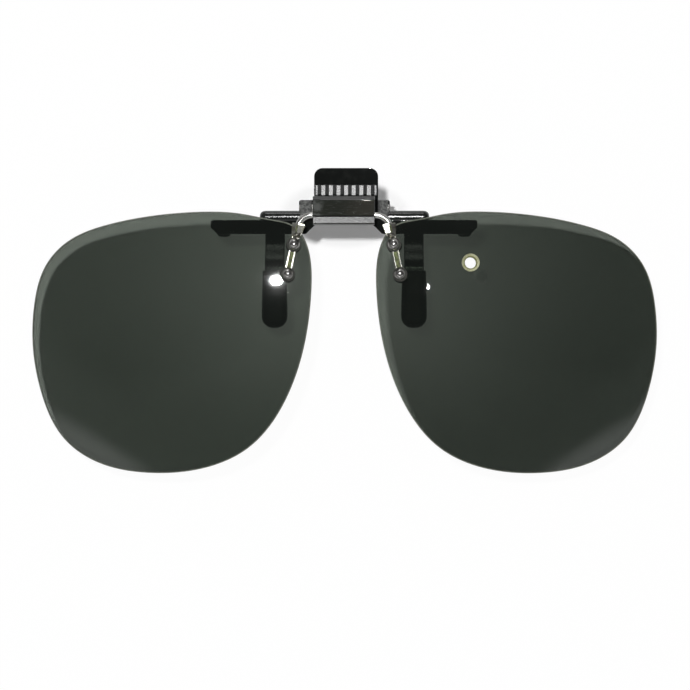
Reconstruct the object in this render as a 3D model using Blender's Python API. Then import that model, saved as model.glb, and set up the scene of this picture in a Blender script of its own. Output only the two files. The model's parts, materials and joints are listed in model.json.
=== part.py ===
# Clip-on flip lenses: two tinted lenses on a bent wire that turns in a sprung spectacle clip.
# Origin: the spectacle seat, in the plane of the tip pads' back faces, at mid height of the arms.
# +X runs along the arms, +Y towards the wearer's face, +Z up.
import math

import bmesh
import bpy
import numpy as np
from mathutils import Matrix, Vector

MM = 0.001

# Fits
RUNNING_FIT = 0.15 * MM  # radial play of a pin, wire or peg in its bore
SEAT_GAP = 0.3 * MM  # between mouldings, rubber or springs that rest on each other
STACK_GAP = 0.15 * MM  # between the thin pieces stacked along a rivet
SLEEVE_FIT = 0.25 * MM  # between a finger and its sleeve's pocket
SIDE_PLAY = 0.4 * MM  # between the lugs and the ears along the jaw pin

# Lenses
LENS_WIDTH = 59.6 * MM
LENS_HEIGHT = 55.1 * MM
LENS_THICKNESS = 1.3 * MM
LENS_CURVE = 120 * MM  # radius of the front surface
LENS_WRAP = math.radians(8.7)  # turn of each lens round the brow
LENS_TILT = math.radians(3)  # lean of each lens's foot towards the face
LENS_CHAMFER = 0.2 * MM
LENS_RISE = 0.78 * MM  # top edge above the axle
LENS_ARM_GAP = 0.7 * MM  # from the arms' front to the lens's back, where they come nearest
BRIDGE_GAP = 13.6 * MM  # between the two lenses
# Shape of the right lens, from its top point clockwise: shares of its width from the nasal side
# and of its height from the top
LENS_CORNER = (0.058, 0.057)  # nasal top corner
LENS_SHAPE = (
    (0.396, 0.000), (0.584, 0.017), (0.737, 0.050), (0.865, 0.106), (0.952, 0.204), (0.993, 0.354),
    (0.999, 0.505), (0.970, 0.688), (0.886, 0.872), (0.754, 0.966), (0.584, 1.000), (0.396, 0.984),
    (0.225, 0.903), (0.092, 0.719), (0.024, 0.505), (0.000, 0.296), (0.009, 0.151), (0.029, 0.095),
    LENS_CORNER, (0.140, 0.030), (0.259, 0.006),
)
TAG_HOLE = 2.4 * MM  # countersunk hole in the right lens
TAG_HOLE_IN = 19.8 * MM  # from the lens's nasal edge
TAG_HOLE_DROP = 9.95 * MM  # below the axle
TAG_HOLE_SINK = 0.6 * MM
LENS_STEPS = 4  # outline points for each stretch of the shape
LENS_RINGS = (0.77, 0.5, 0.25)  # facet rings between the edge and the middle

# Wire, brackets and rivets
WIRE_DIAMETER = 1.2 * MM
AXLE_RISE = 2.4 * MM  # flip axle above the seat
BEND_PULL = 1.6 * MM  # how far the wire's bend swings out before it turns down
RIVET_UPPER_IN = 3.72 * MM  # from the lens's nasal edge
RIVET_UPPER_DROP = 6.27 * MM  # below the axle
RIVET_LOWER_IN = 5.02 * MM
RIVET_LOWER_DROP = 12.52 * MM
RIVET_SHANK = 1.1 * MM
RIVET_HEAD = 2.5 * MM
RIVET_HEAD_RISE = 0.42 * MM  # centre of the ball above its seat
RIVET_TAIL = 1.9 * MM
RIVET_TAIL_HEIGHT = 0.5 * MM
RIVET_TAIL_EDGE = 0.25 * MM
STRAP_THICKNESS = 0.7 * MM
STRAP_WIDTH = 1.5 * MM
EYE_DIAMETER = 3.1 * MM
SOCKET_SIDE = 0.55 * MM  # wall beside the wire
SOCKET_FACE = 0.35 * MM  # wall in front of the wire and behind it
SOCKET_LENGTH = 2.5 * MM
SOCKET_RISE = 1.95 * MM  # from the upper rivet to the socket's lower end
SOCKET_OFFSET = 0.1 * MM  # towards the nose from the line of the rivets
SOCKET_FLOOR = 0.6 * MM
BUSH_WALL = 0.4 * MM
BUSH_FLANGE = 3.2 * MM
BUSH_FLANGE_HEIGHT = 0.4 * MM
WASHER_DIAMETER = 3.0 * MM
WASHER_HEIGHT = 0.35 * MM

# Front jaw
ARM_REACH = 28.1 * MM  # from the middle to an arm's tip
ARM_HEIGHT = 3.0 * MM
ARM_THICKNESS = 1.5 * MM
ARM_TIP_CUT = 1.4 * MM
TAB_WIDTH = 13.5 * MM
TAB_RISE = 10.05 * MM  # top of the thumb tab above the axle
TAB_CORNER = 1.8 * MM
TAB_OFFSET = 0.45 * MM  # to the right of the block
RAMP_HEIGHT = 2.25 * MM
RAMP_DEPTH = 1.6 * MM
RAMP_INSET = 0.3 * MM  # from the tab's sides
RIB_COUNT = 8  # plain grip ribs on the ramp
RIB_SPACING = 1.6 * MM
RIB_WIDTH = 0.8 * MM
RIB_RISE = 0.25 * MM
RIB_MARGIN = 0.15  # share of the ramp left bare at each end of a rib
NOTCH_WIDTH = 12.4 * MM  # notch under the block, at its top
NOTCH_SPREAD = 1.9 * MM  # to each side, down to the arms' lower edge
CHEEK_WIDTH = 0.6 * MM  # from the notch's foot out to the shoulder
CHEEK_RISE = 1.1 * MM  # above the arms
LUG_WIDTH = 1.8 * MM
LUG_WALL = 0.7 * MM  # round the pin's bore
PEG_DIAMETER = 1.2 * MM
PEG_LENGTH = 1.6 * MM
PEG_SPACING = 9.2 * MM
MOULD_EDGE = 0.25 * MM

# Tip pads
PAD_WIDTH = 3.0 * MM
PAD_HEIGHT = 3.2 * MM
PAD_THICKNESS = 1.2 * MM
PAD_INSET = 1.2 * MM  # from the arm's tip
PAD_DROP = 0.5 * MM  # below the arm
PAD_STUD = 1.2 * MM
PAD_STUD_LENGTH = 0.8 * MM

# Hinge block
BLOCK_WIDTH = 13.0 * MM
BLOCK_HEIGHT = 5.95 * MM
BLOCK_DROP = 2.05 * MM  # bottom below the axle
BLOCK_WALL = 1.6 * MM  # in front of the wire
BLOCK_CHAMFER = 1.5 * MM  # height of the lower front chamfer
BLOCK_BROW = 0.8 * MM  # height of the upper front chamfer
COVER_WIDTH = 10.4 * MM
COVER_HEIGHT = 2.2 * MM
COVER_THICKNESS = 0.7 * MM
LEAF_LENGTH = 8.4 * MM
LEAF_HEIGHT = 1.1 * MM
LEAF_THICKNESS = 0.25 * MM

# Jaw hinge
PIN_DIAMETER = 1.5 * MM
PIN_EDGE = 0.25 * MM
PIN_RISE = 1.8 * MM  # above the flip axle
PIN_BACK = 1.6 * MM  # behind the seat
EAR_WIDTH = 2.8 * MM
EAR_WALL = 0.65 * MM  # above and below the pin's bore
EAR_STEP = 0.35 * MM  # from the rear plate's edges in to the ears
EAR_NOSE = 1.5 * MM  # from the pin's centre to the ear's front
SPRING_WIRE = 0.5 * MM
SPRING_DIAMETER = 3.2 * MM  # at the middle of the wire
SPRING_PITCH = 1.0 * MM
SPRING_TURNS = 5.5
SPRING_CURL_POINTS = 9
SPRING_LEG = 4.9 * MM

# Rear jaw
THROAT_DEPTH = 5.05 * MM  # from the seat to the rods
ROD_DIAMETER = 2.75 * MM
ROD_RISE = 0.05 * MM  # above the flip axle
ROD_SPARE = 1.2 * MM  # rod past its finger
ROD_EDGE = 1.0 * MM
REAR_PLATE_THICKNESS = 1.6 * MM
REAR_TAB_WIDTH = 12.0 * MM
REAR_TAB_RISE = 8.85 * MM
CROSSBAR_DROP = 0.75 * MM  # below the flip axle
FINGER_SPACING = 29.6 * MM
FINGER_WIDTH = 4.2 * MM
FINGER_THICKNESS = 1.4 * MM
FINGER_BEND_TOP = 4.75 * MM  # below the flip axle
FINGER_BEND_HEIGHT = 6.2 * MM
FINGER_STEPS = 6
CLAMP_GAP = 1.3 * MM  # from the seat to the sleeves
SLEEVE_SIDE = 0.4 * MM  # wall beside the finger
SLEEVE_FACE = 0.55 * MM  # wall in front of the finger and behind it
SLEEVE_LENGTH = 12.2 * MM
SLEEVE_END = 23.65 * MM  # below the flip axle
SLEEVE_FLOOR = 1.4 * MM
SLEEVE_EDGE = 0.6 * MM

# Facets
ARC_STEPS = 4
ROUND_STEPS = 16
BEND_STEPS = 7
OVERLAP = 0.5 * MM  # how far joined shapes run into each other, and cutters run past a wall

# Places that follow from the sizes above
MOULD_CORNER = 2 * MOULD_EDGE
WIRE_BORE = WIRE_DIAMETER + 2 * RUNNING_FIT
SOCKET_WIDTH = WIRE_BORE + 2 * SOCKET_SIDE
SOCKET_DEPTH = WIRE_BORE + 2 * SOCKET_FACE
ARM_BACK = -PAD_THICKNESS - SEAT_GAP
ARM_FRONT = ARM_BACK - ARM_THICKNESS
BLOCK_BACK = ARM_FRONT - SEAT_GAP
TAB_HALF = TAB_WIDTH / 2
TAB_TOP = AXLE_RISE + TAB_RISE
TAB_LEFT = TAB_OFFSET - TAB_HALF
TAB_RIGHT = TAB_OFFSET + TAB_HALF
BLOCK_BOTTOM = AXLE_RISE - BLOCK_DROP
BLOCK_TOP = BLOCK_BOTTOM + BLOCK_HEIGHT
REBATE_TOP = AXLE_RISE + COVER_HEIGHT / 2 + SEAT_GAP
PEG_Z = (REBATE_TOP + BLOCK_TOP) / 2
PIN_Z = AXLE_RISE + PIN_RISE
PIN_BORE = PIN_DIAMETER + 2 * RUNNING_FIT
LUG_DIAMETER = PIN_BORE + 2 * LUG_WALL
LUG_OUT = TAB_HALF - MOULD_EDGE
EAR_IN = LUG_OUT + SIDE_PLAY
EAR_OUT = EAR_IN + EAR_WIDTH
EAR_HEIGHT = PIN_BORE + 2 * EAR_WALL
EAR_TOP = PIN_Z + EAR_HEIGHT / 2
ROD_Y = THROAT_DEPTH + ROD_DIAMETER / 2
ROD_Z = AXLE_RISE + ROD_RISE
FINGER_X = FINGER_SPACING / 2
ROD_REACH = FINGER_X + FINGER_WIDTH / 2 + ROD_SPARE
SLEEVE_WIDTH = FINGER_WIDTH + 2 * (SLEEVE_FIT + SLEEVE_SIDE)
SLEEVE_THICKNESS = FINGER_THICKNESS + 2 * (SLEEVE_FIT + SLEEVE_FACE)
SLEEVE_BOTTOM = AXLE_RISE - SLEEVE_END
SLEEVE_TOP = SLEEVE_BOTTOM + SLEEVE_LENGTH
SLEEVE_MID = CLAMP_GAP + SLEEVE_THICKNESS / 2
PAD_X = ARM_REACH - PAD_INSET - PAD_WIDTH / 2
PAD_BOTTOM = -ARM_HEIGHT / 2 - PAD_DROP
LENS_TOP = AXLE_RISE + LENS_RISE
LENS_MID = Vector((BRIDGE_GAP / 2 + LENS_WIDTH / 2, LENS_TOP - LENS_HEIGHT / 2))
LENS_APEX_X = LENS_MID.x - LENS_CURVE * math.sin(LENS_WRAP)
LENS_APEX_Z = LENS_MID.y + LENS_CURVE * math.sin(LENS_TILT)

# Ways of laying a flat outline into the model: outline across, outline up, thickness
FRONT_VIEW = Matrix(((1, 0, 0, 0), (0, 0, 1, 0), (0, 1, 0, 0), (0, 0, 0, 1)))
SIDE_VIEW = Matrix(((0, 0, 1, 0), (1, 0, 0, 0), (0, 1, 0, 0), (0, 0, 0, 1)))
PLAN_VIEW = Matrix.Identity(4)

# Finishes: colour, roughness, metallic
GLOSS_BLACK = ((0.010, 0.012, 0.011, 1), 0.22, 0.0)
MATT_BLACK = ((0.016, 0.017, 0.016, 1), 0.5, 0.0)
SOFT_BLACK = ((0.013, 0.014, 0.014, 1), 0.6, 0.0)
CHROME = ((0.78, 0.78, 0.76, 1), 0.08, 1.0)
STEEL = ((0.55, 0.55, 0.54, 1), 0.3, 1.0)
CLEAR_NYLON = ((0.62, 0.63, 0.58, 1), 0.4, 0.0)
TINT = ((0.035, 0.042, 0.035, 1), 0.06, 0.0)


def clear_scene():
    for old in list(bpy.data.objects):
        bpy.data.objects.remove(old)


def finish(name, look):
    colour, roughness, metallic = look
    material = bpy.data.materials.new(name)
    material.use_nodes = True
    shader = material.node_tree.nodes["Principled BSDF"]
    shader.inputs["Base Color"].default_value = colour
    shader.inputs["Roughness"].default_value = roughness
    shader.inputs["Metallic"].default_value = metallic
    material.diffuse_color = colour
    return material


def add_pivot(name, place):
    pivot = bpy.data.objects.new(name, None)
    pivot.location = place
    bpy.context.collection.objects.link(pivot)
    return pivot


def add_object(name, data, look, pivot):
    thing = bpy.data.objects.new(name, data)
    bpy.context.collection.objects.link(thing)
    if look:
        data.materials.append(finish(name, look))
    if pivot:
        thing.parent = pivot
    return thing


def add_solid(name, bm, look, pivot=None):
    # The shape is given in the part's frame; the object's origin lands on its pivot
    if pivot:
        bmesh.ops.translate(bm, vec=-pivot.location, verts=bm.verts)
    bmesh.ops.recalc_face_normals(bm, faces=bm.faces)
    mesh = bpy.data.meshes.new(name)
    bm.to_mesh(mesh)
    bm.free()
    mesh.shade_smooth()
    mesh.set_sharp_from_angle(angle=math.radians(35))
    return add_object(name, mesh, look, pivot)


def combine(thing, bm, operation):
    tool = add_solid(f"{thing.name}_{operation.lower()}", bm, None, thing.parent)
    tool.hide_render = True
    tool.display_type = "WIRE"
    modifier = thing.modifiers.new(operation.title(), "BOOLEAN")
    modifier.operation = operation
    modifier.solver = "EXACT"
    modifier.object = tool


def round_edges(thing, width, segments=1):
    bevel = thing.modifiers.new("Edges", "BEVEL")
    bevel.width = width
    bevel.segments = segments
    bevel.limit_method = "ANGLE"
    bevel.angle_limit = math.radians(50)


def mirrored(points):
    # A right-hand half outline, bottom to top, closed with its left-hand copy
    return points + [(-p[0],) + tuple(p[1:]) for p in reversed(points)]


def rounded(corners):
    # A closed outline from corners (across, up, radius), with an arc at each corner that has a radius
    outline = []
    for index, (across, up, radius) in enumerate(corners):
        corner = Vector((across, up))
        if not radius:
            outline.append(corner)
            continue
        back = (Vector(corners[index - 1][:2]) - corner).normalized()
        ahead = (Vector(corners[(index + 1) % len(corners)][:2]) - corner).normalized()
        half = back.angle(ahead) / 2
        centre = corner + (back + ahead).normalized() * (radius / math.sin(half))
        start = corner + back * (radius / math.tan(half)) - centre
        turn = ahead.cross(back)
        sweep = math.copysign(math.pi - 2 * half, -turn)
        for step in range(ARC_STEPS + 1):
            outline.append(centre + Matrix.Rotation(-sweep * step / ARC_STEPS, 2) @ start)
    return outline


def circle(radius, across=0.0, up=0.0, steps=ROUND_STEPS):
    turns = [2 * math.pi * step / steps for step in range(steps)]
    return [(across + radius * math.cos(t), up + radius * math.sin(t)) for t in turns]


def rectangle(left, right, bottom, top):
    return [(left, bottom), (right, bottom), (right, top), (left, top)]


def add_prism(bm, outline, low, high, view):
    # An outline swept along the view's third axis, from low to high
    ends = []
    for level in (low, high):
        ends.append([bm.verts.new(view @ Vector((p[0], p[1], level))) for p in outline])
    bm.faces.new(ends[0])
    bm.faces.new(ends[1])
    for index in range(len(outline)):
        ahead = (index + 1) % len(outline)
        bm.faces.new((ends[0][index], ends[0][ahead], ends[1][ahead], ends[1][index]))
    return bm


def prism(outline, low, high, view):
    return add_prism(bmesh.new(), outline, low, high, view)


def add_lathe(bm, profile, frame, ring=False):
    # A profile of (radius, height) turned about the frame's third axis.
    # A ring's profile closes on itself; any other starts and ends on the axis.
    rows = []
    for radius, height in profile:
        if radius:
            rows.append([bm.verts.new(frame @ Vector((x, y, height))) for x, y in circle(radius)])
        else:
            rows.append([bm.verts.new(frame @ Vector((0, 0, height)))])
    pairs = list(zip(rows, rows[1:]))
    if ring:
        pairs.append((rows[-1], rows[0]))
    for near, far in pairs:
        for step in range(ROUND_STEPS):
            ahead = (step + 1) % ROUND_STEPS
            # A row on the axis is one point, so its quads are triangles
            quad = [near[step % len(near)], near[ahead % len(near)]]
            quad += [far[ahead % len(far)], far[step % len(far)]]
            bm.faces.new(dict.fromkeys(quad))
    return bm


def lathe(profile, frame, ring=False):
    return add_lathe(bmesh.new(), profile, frame, ring)


def along_x(y, z):
    # Frame of a shape turned about a line along X
    return Matrix.Translation((0, y, z)) @ Matrix.Rotation(math.pi / 2, 4, "Y")


def to_side(bm, side):
    # Shapes are built for the right-hand lens and reflected for the left
    if side < 0:
        bmesh.ops.scale(bm, vec=(-1, 1, 1), verts=bm.verts)
    return bm


def lens_outline():
    # A closed cubic curve through the lens's shape points, whose bend runs on smoothly at each of them
    points = np.array((BRIDGE_GAP / 2, LENS_TOP)) + np.array(LENS_SHAPE) * (LENS_WIDTH, -LENS_HEIGHT)
    nexts = np.roll(points, -1, axis=0)
    span = np.linalg.norm(nexts - points, axis=1)
    before = np.roll(span, 1)
    count = len(points)
    row = np.arange(count)
    system = np.zeros((count, count))
    system[row, row] = 2 / before + 2 / span
    system[row, row - 1] = 1 / before
    system[row, (row + 1) % count] = 1 / span
    chord = (nexts - points) / span[:, None] ** 2
    slopes = np.linalg.solve(system, 3 * (chord + np.roll(chord, 1, axis=0)))
    outline = []
    for index in range(count):
        for step in range(LENS_STEPS):
            t = step / LENS_STEPS
            point = points[index] * (2 * t**3 - 3 * t**2 + 1) + nexts[index] * (3 * t**2 - 2 * t**3)
            point += slopes[index] * span[index] * (t**3 - 2 * t**2 + t)
            point += slopes[(index + 1) % count] * span[index] * (t**3 - t**2)
            outline.append(Vector(point))
    return outline


def lens_sag(x, z, radius=LENS_CURVE):
    # How far a lens surface lies behind its front apex
    off = (x - LENS_APEX_X) ** 2 + (z - LENS_APEX_Z) ** 2
    return LENS_CURVE - math.sqrt(radius**2 - off)


CORNER_X = BRIDGE_GAP / 2 + LENS_WIDTH * LENS_CORNER[0]
CORNER_Z = LENS_TOP - LENS_HEIGHT * LENS_CORNER[1]
LENS_BACK_CURVE = LENS_CURVE - LENS_THICKNESS
NEAR_CORNER = lens_sag(CORNER_X, CORNER_Z, LENS_BACK_CURVE)
NEAR_TIP = lens_sag(ARM_REACH, ARM_HEIGHT / 2, LENS_BACK_CURVE)
LENS_APEX_Y = ARM_FRONT - LENS_ARM_GAP - max(NEAR_CORNER, NEAR_TIP)


def on_lens(x, z):
    return Vector((x, LENS_APEX_Y + lens_sag(x, z), z))


# Frame of the right-hand bracket: across it, up its strap, and out of the lens. It lies on the
# lens's front between the two rivets.
RIVET_UPPER = on_lens(BRIDGE_GAP / 2 + RIVET_UPPER_IN, AXLE_RISE - RIVET_UPPER_DROP)
RIVET_LOWER = on_lens(BRIDGE_GAP / 2 + RIVET_LOWER_IN, AXLE_RISE - RIVET_LOWER_DROP)
RIVET_HALF = (RIVET_UPPER - RIVET_LOWER).length / 2
BRACKET_MID = (RIVET_UPPER + RIVET_LOWER) / 2
STRAP_UP = (RIVET_UPPER - RIVET_LOWER).normalized()
LENS_CENTRE = Vector((LENS_APEX_X, LENS_APEX_Y + LENS_CURVE, LENS_APEX_Z))
LENS_OUT = (BRACKET_MID - LENS_CENTRE).normalized()
STRAP_ACROSS = STRAP_UP.cross(LENS_OUT)
BRACKET_TURN = Matrix((STRAP_ACROSS, STRAP_UP, LENS_OUT)).transposed().to_4x4()
BRACKET_FRAME = Matrix.Translation(BRACKET_MID) @ BRACKET_TURN
SOCKET_LOW = RIVET_HALF + SOCKET_RISE
SOCKET_MOUTH = BRACKET_FRAME @ Vector((-SOCKET_OFFSET, SOCKET_LOW + SOCKET_LENGTH, SOCKET_DEPTH / 2))
SOCKET_END = BRACKET_FRAME @ Vector((-SOCKET_OFFSET, SOCKET_LOW + SOCKET_FLOOR, SOCKET_DEPTH / 2))
AXLE_Y = SOCKET_MOUTH.y
BLOCK_FRONT = AXLE_Y - WIRE_DIAMETER / 2 - BLOCK_WALL


def add_lens(name, side, pivot):
    bm = bmesh.new()
    outline = lens_outline()
    inset = 1 - LENS_CHAMFER / (LENS_HEIGHT / 2)
    # Rings from the middle of the front, over the edge, to the middle of the back
    sheet = [(scale, LENS_CURVE, 0.0) for scale in reversed(LENS_RINGS)]
    sheet += [(inset, LENS_CURVE, 0.0), (1.0, LENS_CURVE, LENS_CHAMFER)]
    sheet += [(1.0, LENS_BACK_CURVE, -LENS_CHAMFER), (inset, LENS_BACK_CURVE, 0.0)]
    sheet += [(scale, LENS_BACK_CURVE, 0.0) for scale in LENS_RINGS]
    rings = []
    for scale, radius, shift in sheet:
        ring = []
        for point in outline:
            x, z = LENS_MID + (point - LENS_MID) * scale
            ring.append(bm.verts.new((x, LENS_APEX_Y + lens_sag(x, z, radius) + shift, z)))
        rings.append(ring)
    count = len(outline)
    for near, far in zip(rings, rings[1:]):
        for index in range(count):
            ahead = (index + 1) % count
            bm.faces.new((near[index], near[ahead], far[ahead], far[index]))
    for ring, radius in ((rings[0], LENS_CURVE), (rings[-1], LENS_BACK_CURVE)):
        x, z = LENS_MID
        middle = bm.verts.new((x, LENS_APEX_Y + lens_sag(x, z, radius), z))
        for index in range(count):
            bm.faces.new((ring[index], ring[(index + 1) % count], middle))
    lens = add_solid(name, to_side(bm, side), TINT, pivot)
    holes = bmesh.new()
    hole = RIVET_SHANK / 2 + BUSH_WALL + 2 * RUNNING_FIT
    for up in (-RIVET_HALF, RIVET_HALF):
        add_prism(holes, circle(hole, 0, up), -LENS_THICKNESS * 2, LENS_THICKNESS, BRACKET_FRAME)
    combine(lens, to_side(holes, side), "DIFFERENCE")
    return lens


def cut_tag_hole(lens):
    place = on_lens(BRIDGE_GAP / 2 + TAG_HOLE_IN, AXLE_RISE - TAG_HOLE_DROP)
    out = place - LENS_CENTRE
    frame = Matrix.Translation(place) @ out.to_track_quat("Z", "Y").to_matrix().to_4x4()
    radius = TAG_HOLE / 2
    behind = -2 * LENS_THICKNESS
    profile = [(0, behind), (radius, behind), (radius, -TAG_HOLE_SINK)]
    profile += [(radius + TAG_HOLE_SINK + OVERLAP, OVERLAP), (0, OVERLAP)]
    combine(lens, lathe(profile, frame), "DIFFERENCE")


def add_bracket(name, side, pivot):
    eye = EYE_DIAMETER / 2
    half = STRAP_WIDTH / 2
    last = math.pi / 2 - math.asin(half / eye)
    steps = ROUND_STEPS // 2
    right = []
    # Round the lower eye from its foot, then round the upper eye, to the strap above it
    for centre, first in ((-RIVET_HALF, math.pi / ROUND_STEPS - math.pi / 2), (RIVET_HALF, -last)):
        for step in range(steps):
            turn = first + (last - first) * step / (steps - 1)
            right.append((eye * math.cos(turn), centre + eye * math.sin(turn)))
    right.append((half, SOCKET_LOW + OVERLAP))
    bm = prism(mirrored(right), STACK_GAP, STACK_GAP + STRAP_THICKNESS, BRACKET_FRAME)
    bracket = add_solid(name, to_side(bm, side), CHROME, pivot)
    left = -SOCKET_OFFSET - SOCKET_WIDTH / 2
    socket_top = SOCKET_LOW + SOCKET_LENGTH
    box = rectangle(left, left + SOCKET_WIDTH, SOCKET_LOW, socket_top)
    corners = [(x, z, SOCKET_FLOOR) for x, z in box]
    socket = prism(rounded(corners), 0, SOCKET_DEPTH, BRACKET_FRAME)
    combine(bracket, to_side(socket, side), "UNION")
    holes = bmesh.new()
    for up in (-RIVET_HALF, RIVET_HALF):
        hole = circle(RIVET_SHANK / 2 + RUNNING_FIT, 0, up)
        add_prism(holes, hole, -OVERLAP, SOCKET_DEPTH, BRACKET_FRAME)
    bore = circle(WIRE_BORE / 2, -SOCKET_OFFSET, SOCKET_DEPTH / 2)
    bore_floor = SOCKET_LOW + SOCKET_FLOOR - RUNNING_FIT
    add_prism(holes, bore, bore_floor, socket_top + OVERLAP, BRACKET_FRAME @ FRONT_VIEW)
    combine(bracket, to_side(holes, side), "DIFFERENCE")


def ball_cap(seat, rise, radius):
    # Profile of a ball from its seat to its pole; rise is its centre above the seat
    points = []
    first = -math.asin(rise / radius)
    for step in range(ARC_STEPS):
        turn = first + (math.pi / 2 - first) * step / ARC_STEPS
        points.append((radius * math.cos(turn), seat + rise + radius * math.sin(turn)))
    return points + [(0, seat + rise + radius)]


def add_rivet_stack(place, up, side, pivot):
    frame = BRACKET_FRAME @ Matrix.Translation((0, up, 0))
    shank = RIVET_SHANK / 2
    head = STACK_GAP + STRAP_THICKNESS + STACK_GAP
    flange_front = -LENS_THICKNESS - STACK_GAP
    flange_back = flange_front - BUSH_FLANGE_HEIGHT
    washer_front = flange_back - STACK_GAP
    washer_back = washer_front - WASHER_HEIGHT
    tail = washer_back - STACK_GAP
    tail_end = tail - RIVET_TAIL_HEIGHT
    profile = [(0, tail_end), (RIVET_TAIL / 2 - RIVET_TAIL_EDGE, tail_end)]
    profile += [(RIVET_TAIL / 2, tail_end + RIVET_TAIL_EDGE), (RIVET_TAIL / 2, tail)]
    profile += [(shank, tail), (shank, head)]
    profile += ball_cap(head, RIVET_HEAD_RISE, RIVET_HEAD / 2)
    add_solid(f"rivet_{place}", to_side(lathe(profile, frame), side), CHROME, pivot)

    bore = shank + RUNNING_FIT
    barrel = bore + BUSH_WALL
    flange = BUSH_FLANGE / 2
    front = -STACK_GAP
    profile = [(bore, flange_back), (flange, flange_back), (flange, flange_front)]
    profile += [(barrel, flange_front), (barrel, front), (bore, front)]
    add_solid(f"bush_{place}", to_side(lathe(profile, frame, ring=True), side), CLEAR_NYLON, pivot)

    profile = rectangle(bore, WASHER_DIAMETER / 2, washer_back, washer_front)
    add_solid(f"washer_{place}", to_side(lathe(profile, frame, ring=True), side), STEEL, pivot)


def add_wire(name, path, diameter, resolution, look, pivot):
    curve = bpy.data.curves.new(name, "CURVE")
    curve.dimensions = "3D"
    curve.bevel_depth = diameter / 2
    curve.bevel_resolution = resolution
    curve.use_fill_caps = True
    spline = curve.splines.new("POLY")
    spline.points.add(len(path) - 1)
    for point, place in zip(spline.points, path):
        point.co = (*(place - pivot.location), 1)
    return add_object(name, curve, look, pivot)


def wire_path():
    # Straight through the block, swung out past its side, then down into the socket
    leave = Vector((BLOCK_WIDTH / 2, AXLE_Y, AXLE_RISE))
    pull_out = leave + Vector((BEND_PULL, 0, 0))
    pull_down = SOCKET_MOUTH + STRAP_UP * BEND_PULL / 2
    right = []
    for step in range(BEND_STEPS):
        t = step / (BEND_STEPS - 1)
        u = 1 - t
        point = u**3 * leave + 3 * u**2 * t * pull_out
        right.append(point + 3 * u * t**2 * pull_down + t**3 * SOCKET_MOUTH)
    right.append(SOCKET_END)
    left = [Vector((-p.x, p.y, p.z)) for p in reversed(right)]
    return left + right


def jaw_outline():
    cheek_in = NOTCH_WIDTH / 2 + NOTCH_SPREAD
    cheek_out = cheek_in + CHEEK_WIDTH
    low = -ARM_HEIGHT / 2
    high = ARM_HEIGHT / 2
    shoulder = high + CHEEK_RISE
    soft = MOULD_CORNER
    right = [
        (NOTCH_WIDTH / 2, BLOCK_BOTTOM, soft),
        (cheek_in, low, soft),
        (ARM_REACH - ARM_TIP_CUT, low, soft),
        (ARM_REACH, low + ARM_TIP_CUT, soft),
        (ARM_REACH, high, soft),
        (cheek_out + CHEEK_RISE, high, soft),
        (cheek_out, shoulder, soft),
    ]
    tab = [
        (TAB_RIGHT, shoulder, soft),
        (TAB_RIGHT, TAB_TOP, TAB_CORNER),
        (TAB_LEFT, TAB_TOP, TAB_CORNER),
        (TAB_LEFT, shoulder, soft),
    ]
    both = mirrored(right)
    return rounded(both[: len(right)] + tab + both[len(right) :])


def pin_bore(bm, left, right):
    bore = circle(PIN_BORE / 2, PIN_BACK, PIN_Z)
    return add_prism(bm, bore, left, right, SIDE_VIEW)


def rib_profile(low, high):
    # A rib along the ramp's slope from low to high, half sunk in it
    slope = high - low
    out = Vector((-slope.y, slope.x)).normalized() * RIB_RISE
    start = low + slope * RIB_MARGIN
    end = high - slope * RIB_MARGIN
    return [start + out, end + out, end - out, start - out]


def add_front_jaw():
    jaw = add_solid("front_jaw", prism(jaw_outline(), ARM_FRONT, ARM_BACK, FRONT_VIEW), GLOSS_BLACK)
    round_edges(jaw, MOULD_EDGE)
    ramp_bottom = BLOCK_TOP + SEAT_GAP
    ramp_low = Vector((ARM_FRONT - RAMP_DEPTH, ramp_bottom))
    ramp_high = Vector((ARM_FRONT, ramp_bottom + RAMP_HEIGHT))
    ramp = [(ARM_FRONT + OVERLAP, ramp_bottom), ramp_low, ramp_high, (ARM_FRONT + OVERLAP, ramp_high.y)]
    extras = prism(ramp, TAB_LEFT + RAMP_INSET, TAB_RIGHT - RAMP_INSET, SIDE_VIEW)
    lug = LUG_DIAMETER / 2
    profile = [(ARM_BACK - OVERLAP, PIN_Z - lug), (PIN_BACK, PIN_Z - lug)]
    profile += circle(lug, PIN_BACK, PIN_Z)[-ROUND_STEPS // 4 + 1 :]
    profile += circle(lug, PIN_BACK, PIN_Z)[: ROUND_STEPS // 4]
    profile += [(PIN_BACK, PIN_Z + lug), (ARM_BACK - OVERLAP, PIN_Z + lug)]
    for side in (-1, 1):
        near, far = sorted((side * (LUG_OUT - LUG_WIDTH), side * LUG_OUT))
        add_prism(extras, profile, near, far, SIDE_VIEW)
        peg = circle(PEG_DIAMETER / 2, side * PEG_SPACING / 2, PEG_Z)
        add_prism(extras, peg, BLOCK_BACK - PEG_LENGTH, ARM_FRONT + OVERLAP, FRONT_VIEW)
    combine(jaw, extras, "UNION")
    ribs = bmesh.new()
    for index in range(RIB_COUNT):
        middle = TAB_OFFSET + (index - (RIB_COUNT - 1) / 2) * RIB_SPACING
        rib = rib_profile(ramp_low, ramp_high)
        add_prism(ribs, rib, middle - RIB_WIDTH / 2, middle + RIB_WIDTH / 2, SIDE_VIEW)
    combine(jaw, ribs, "UNION")
    cuts = pin_bore(bmesh.new(), -TAB_HALF, TAB_HALF)
    for side in (-1, 1):
        stud = circle(PAD_STUD / 2 + RUNNING_FIT, side * PAD_X)
        add_prism(cuts, stud, ARM_BACK - PAD_STUD_LENGTH, ARM_BACK + OVERLAP, FRONT_VIEW)
    combine(jaw, cuts, "DIFFERENCE")


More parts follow.
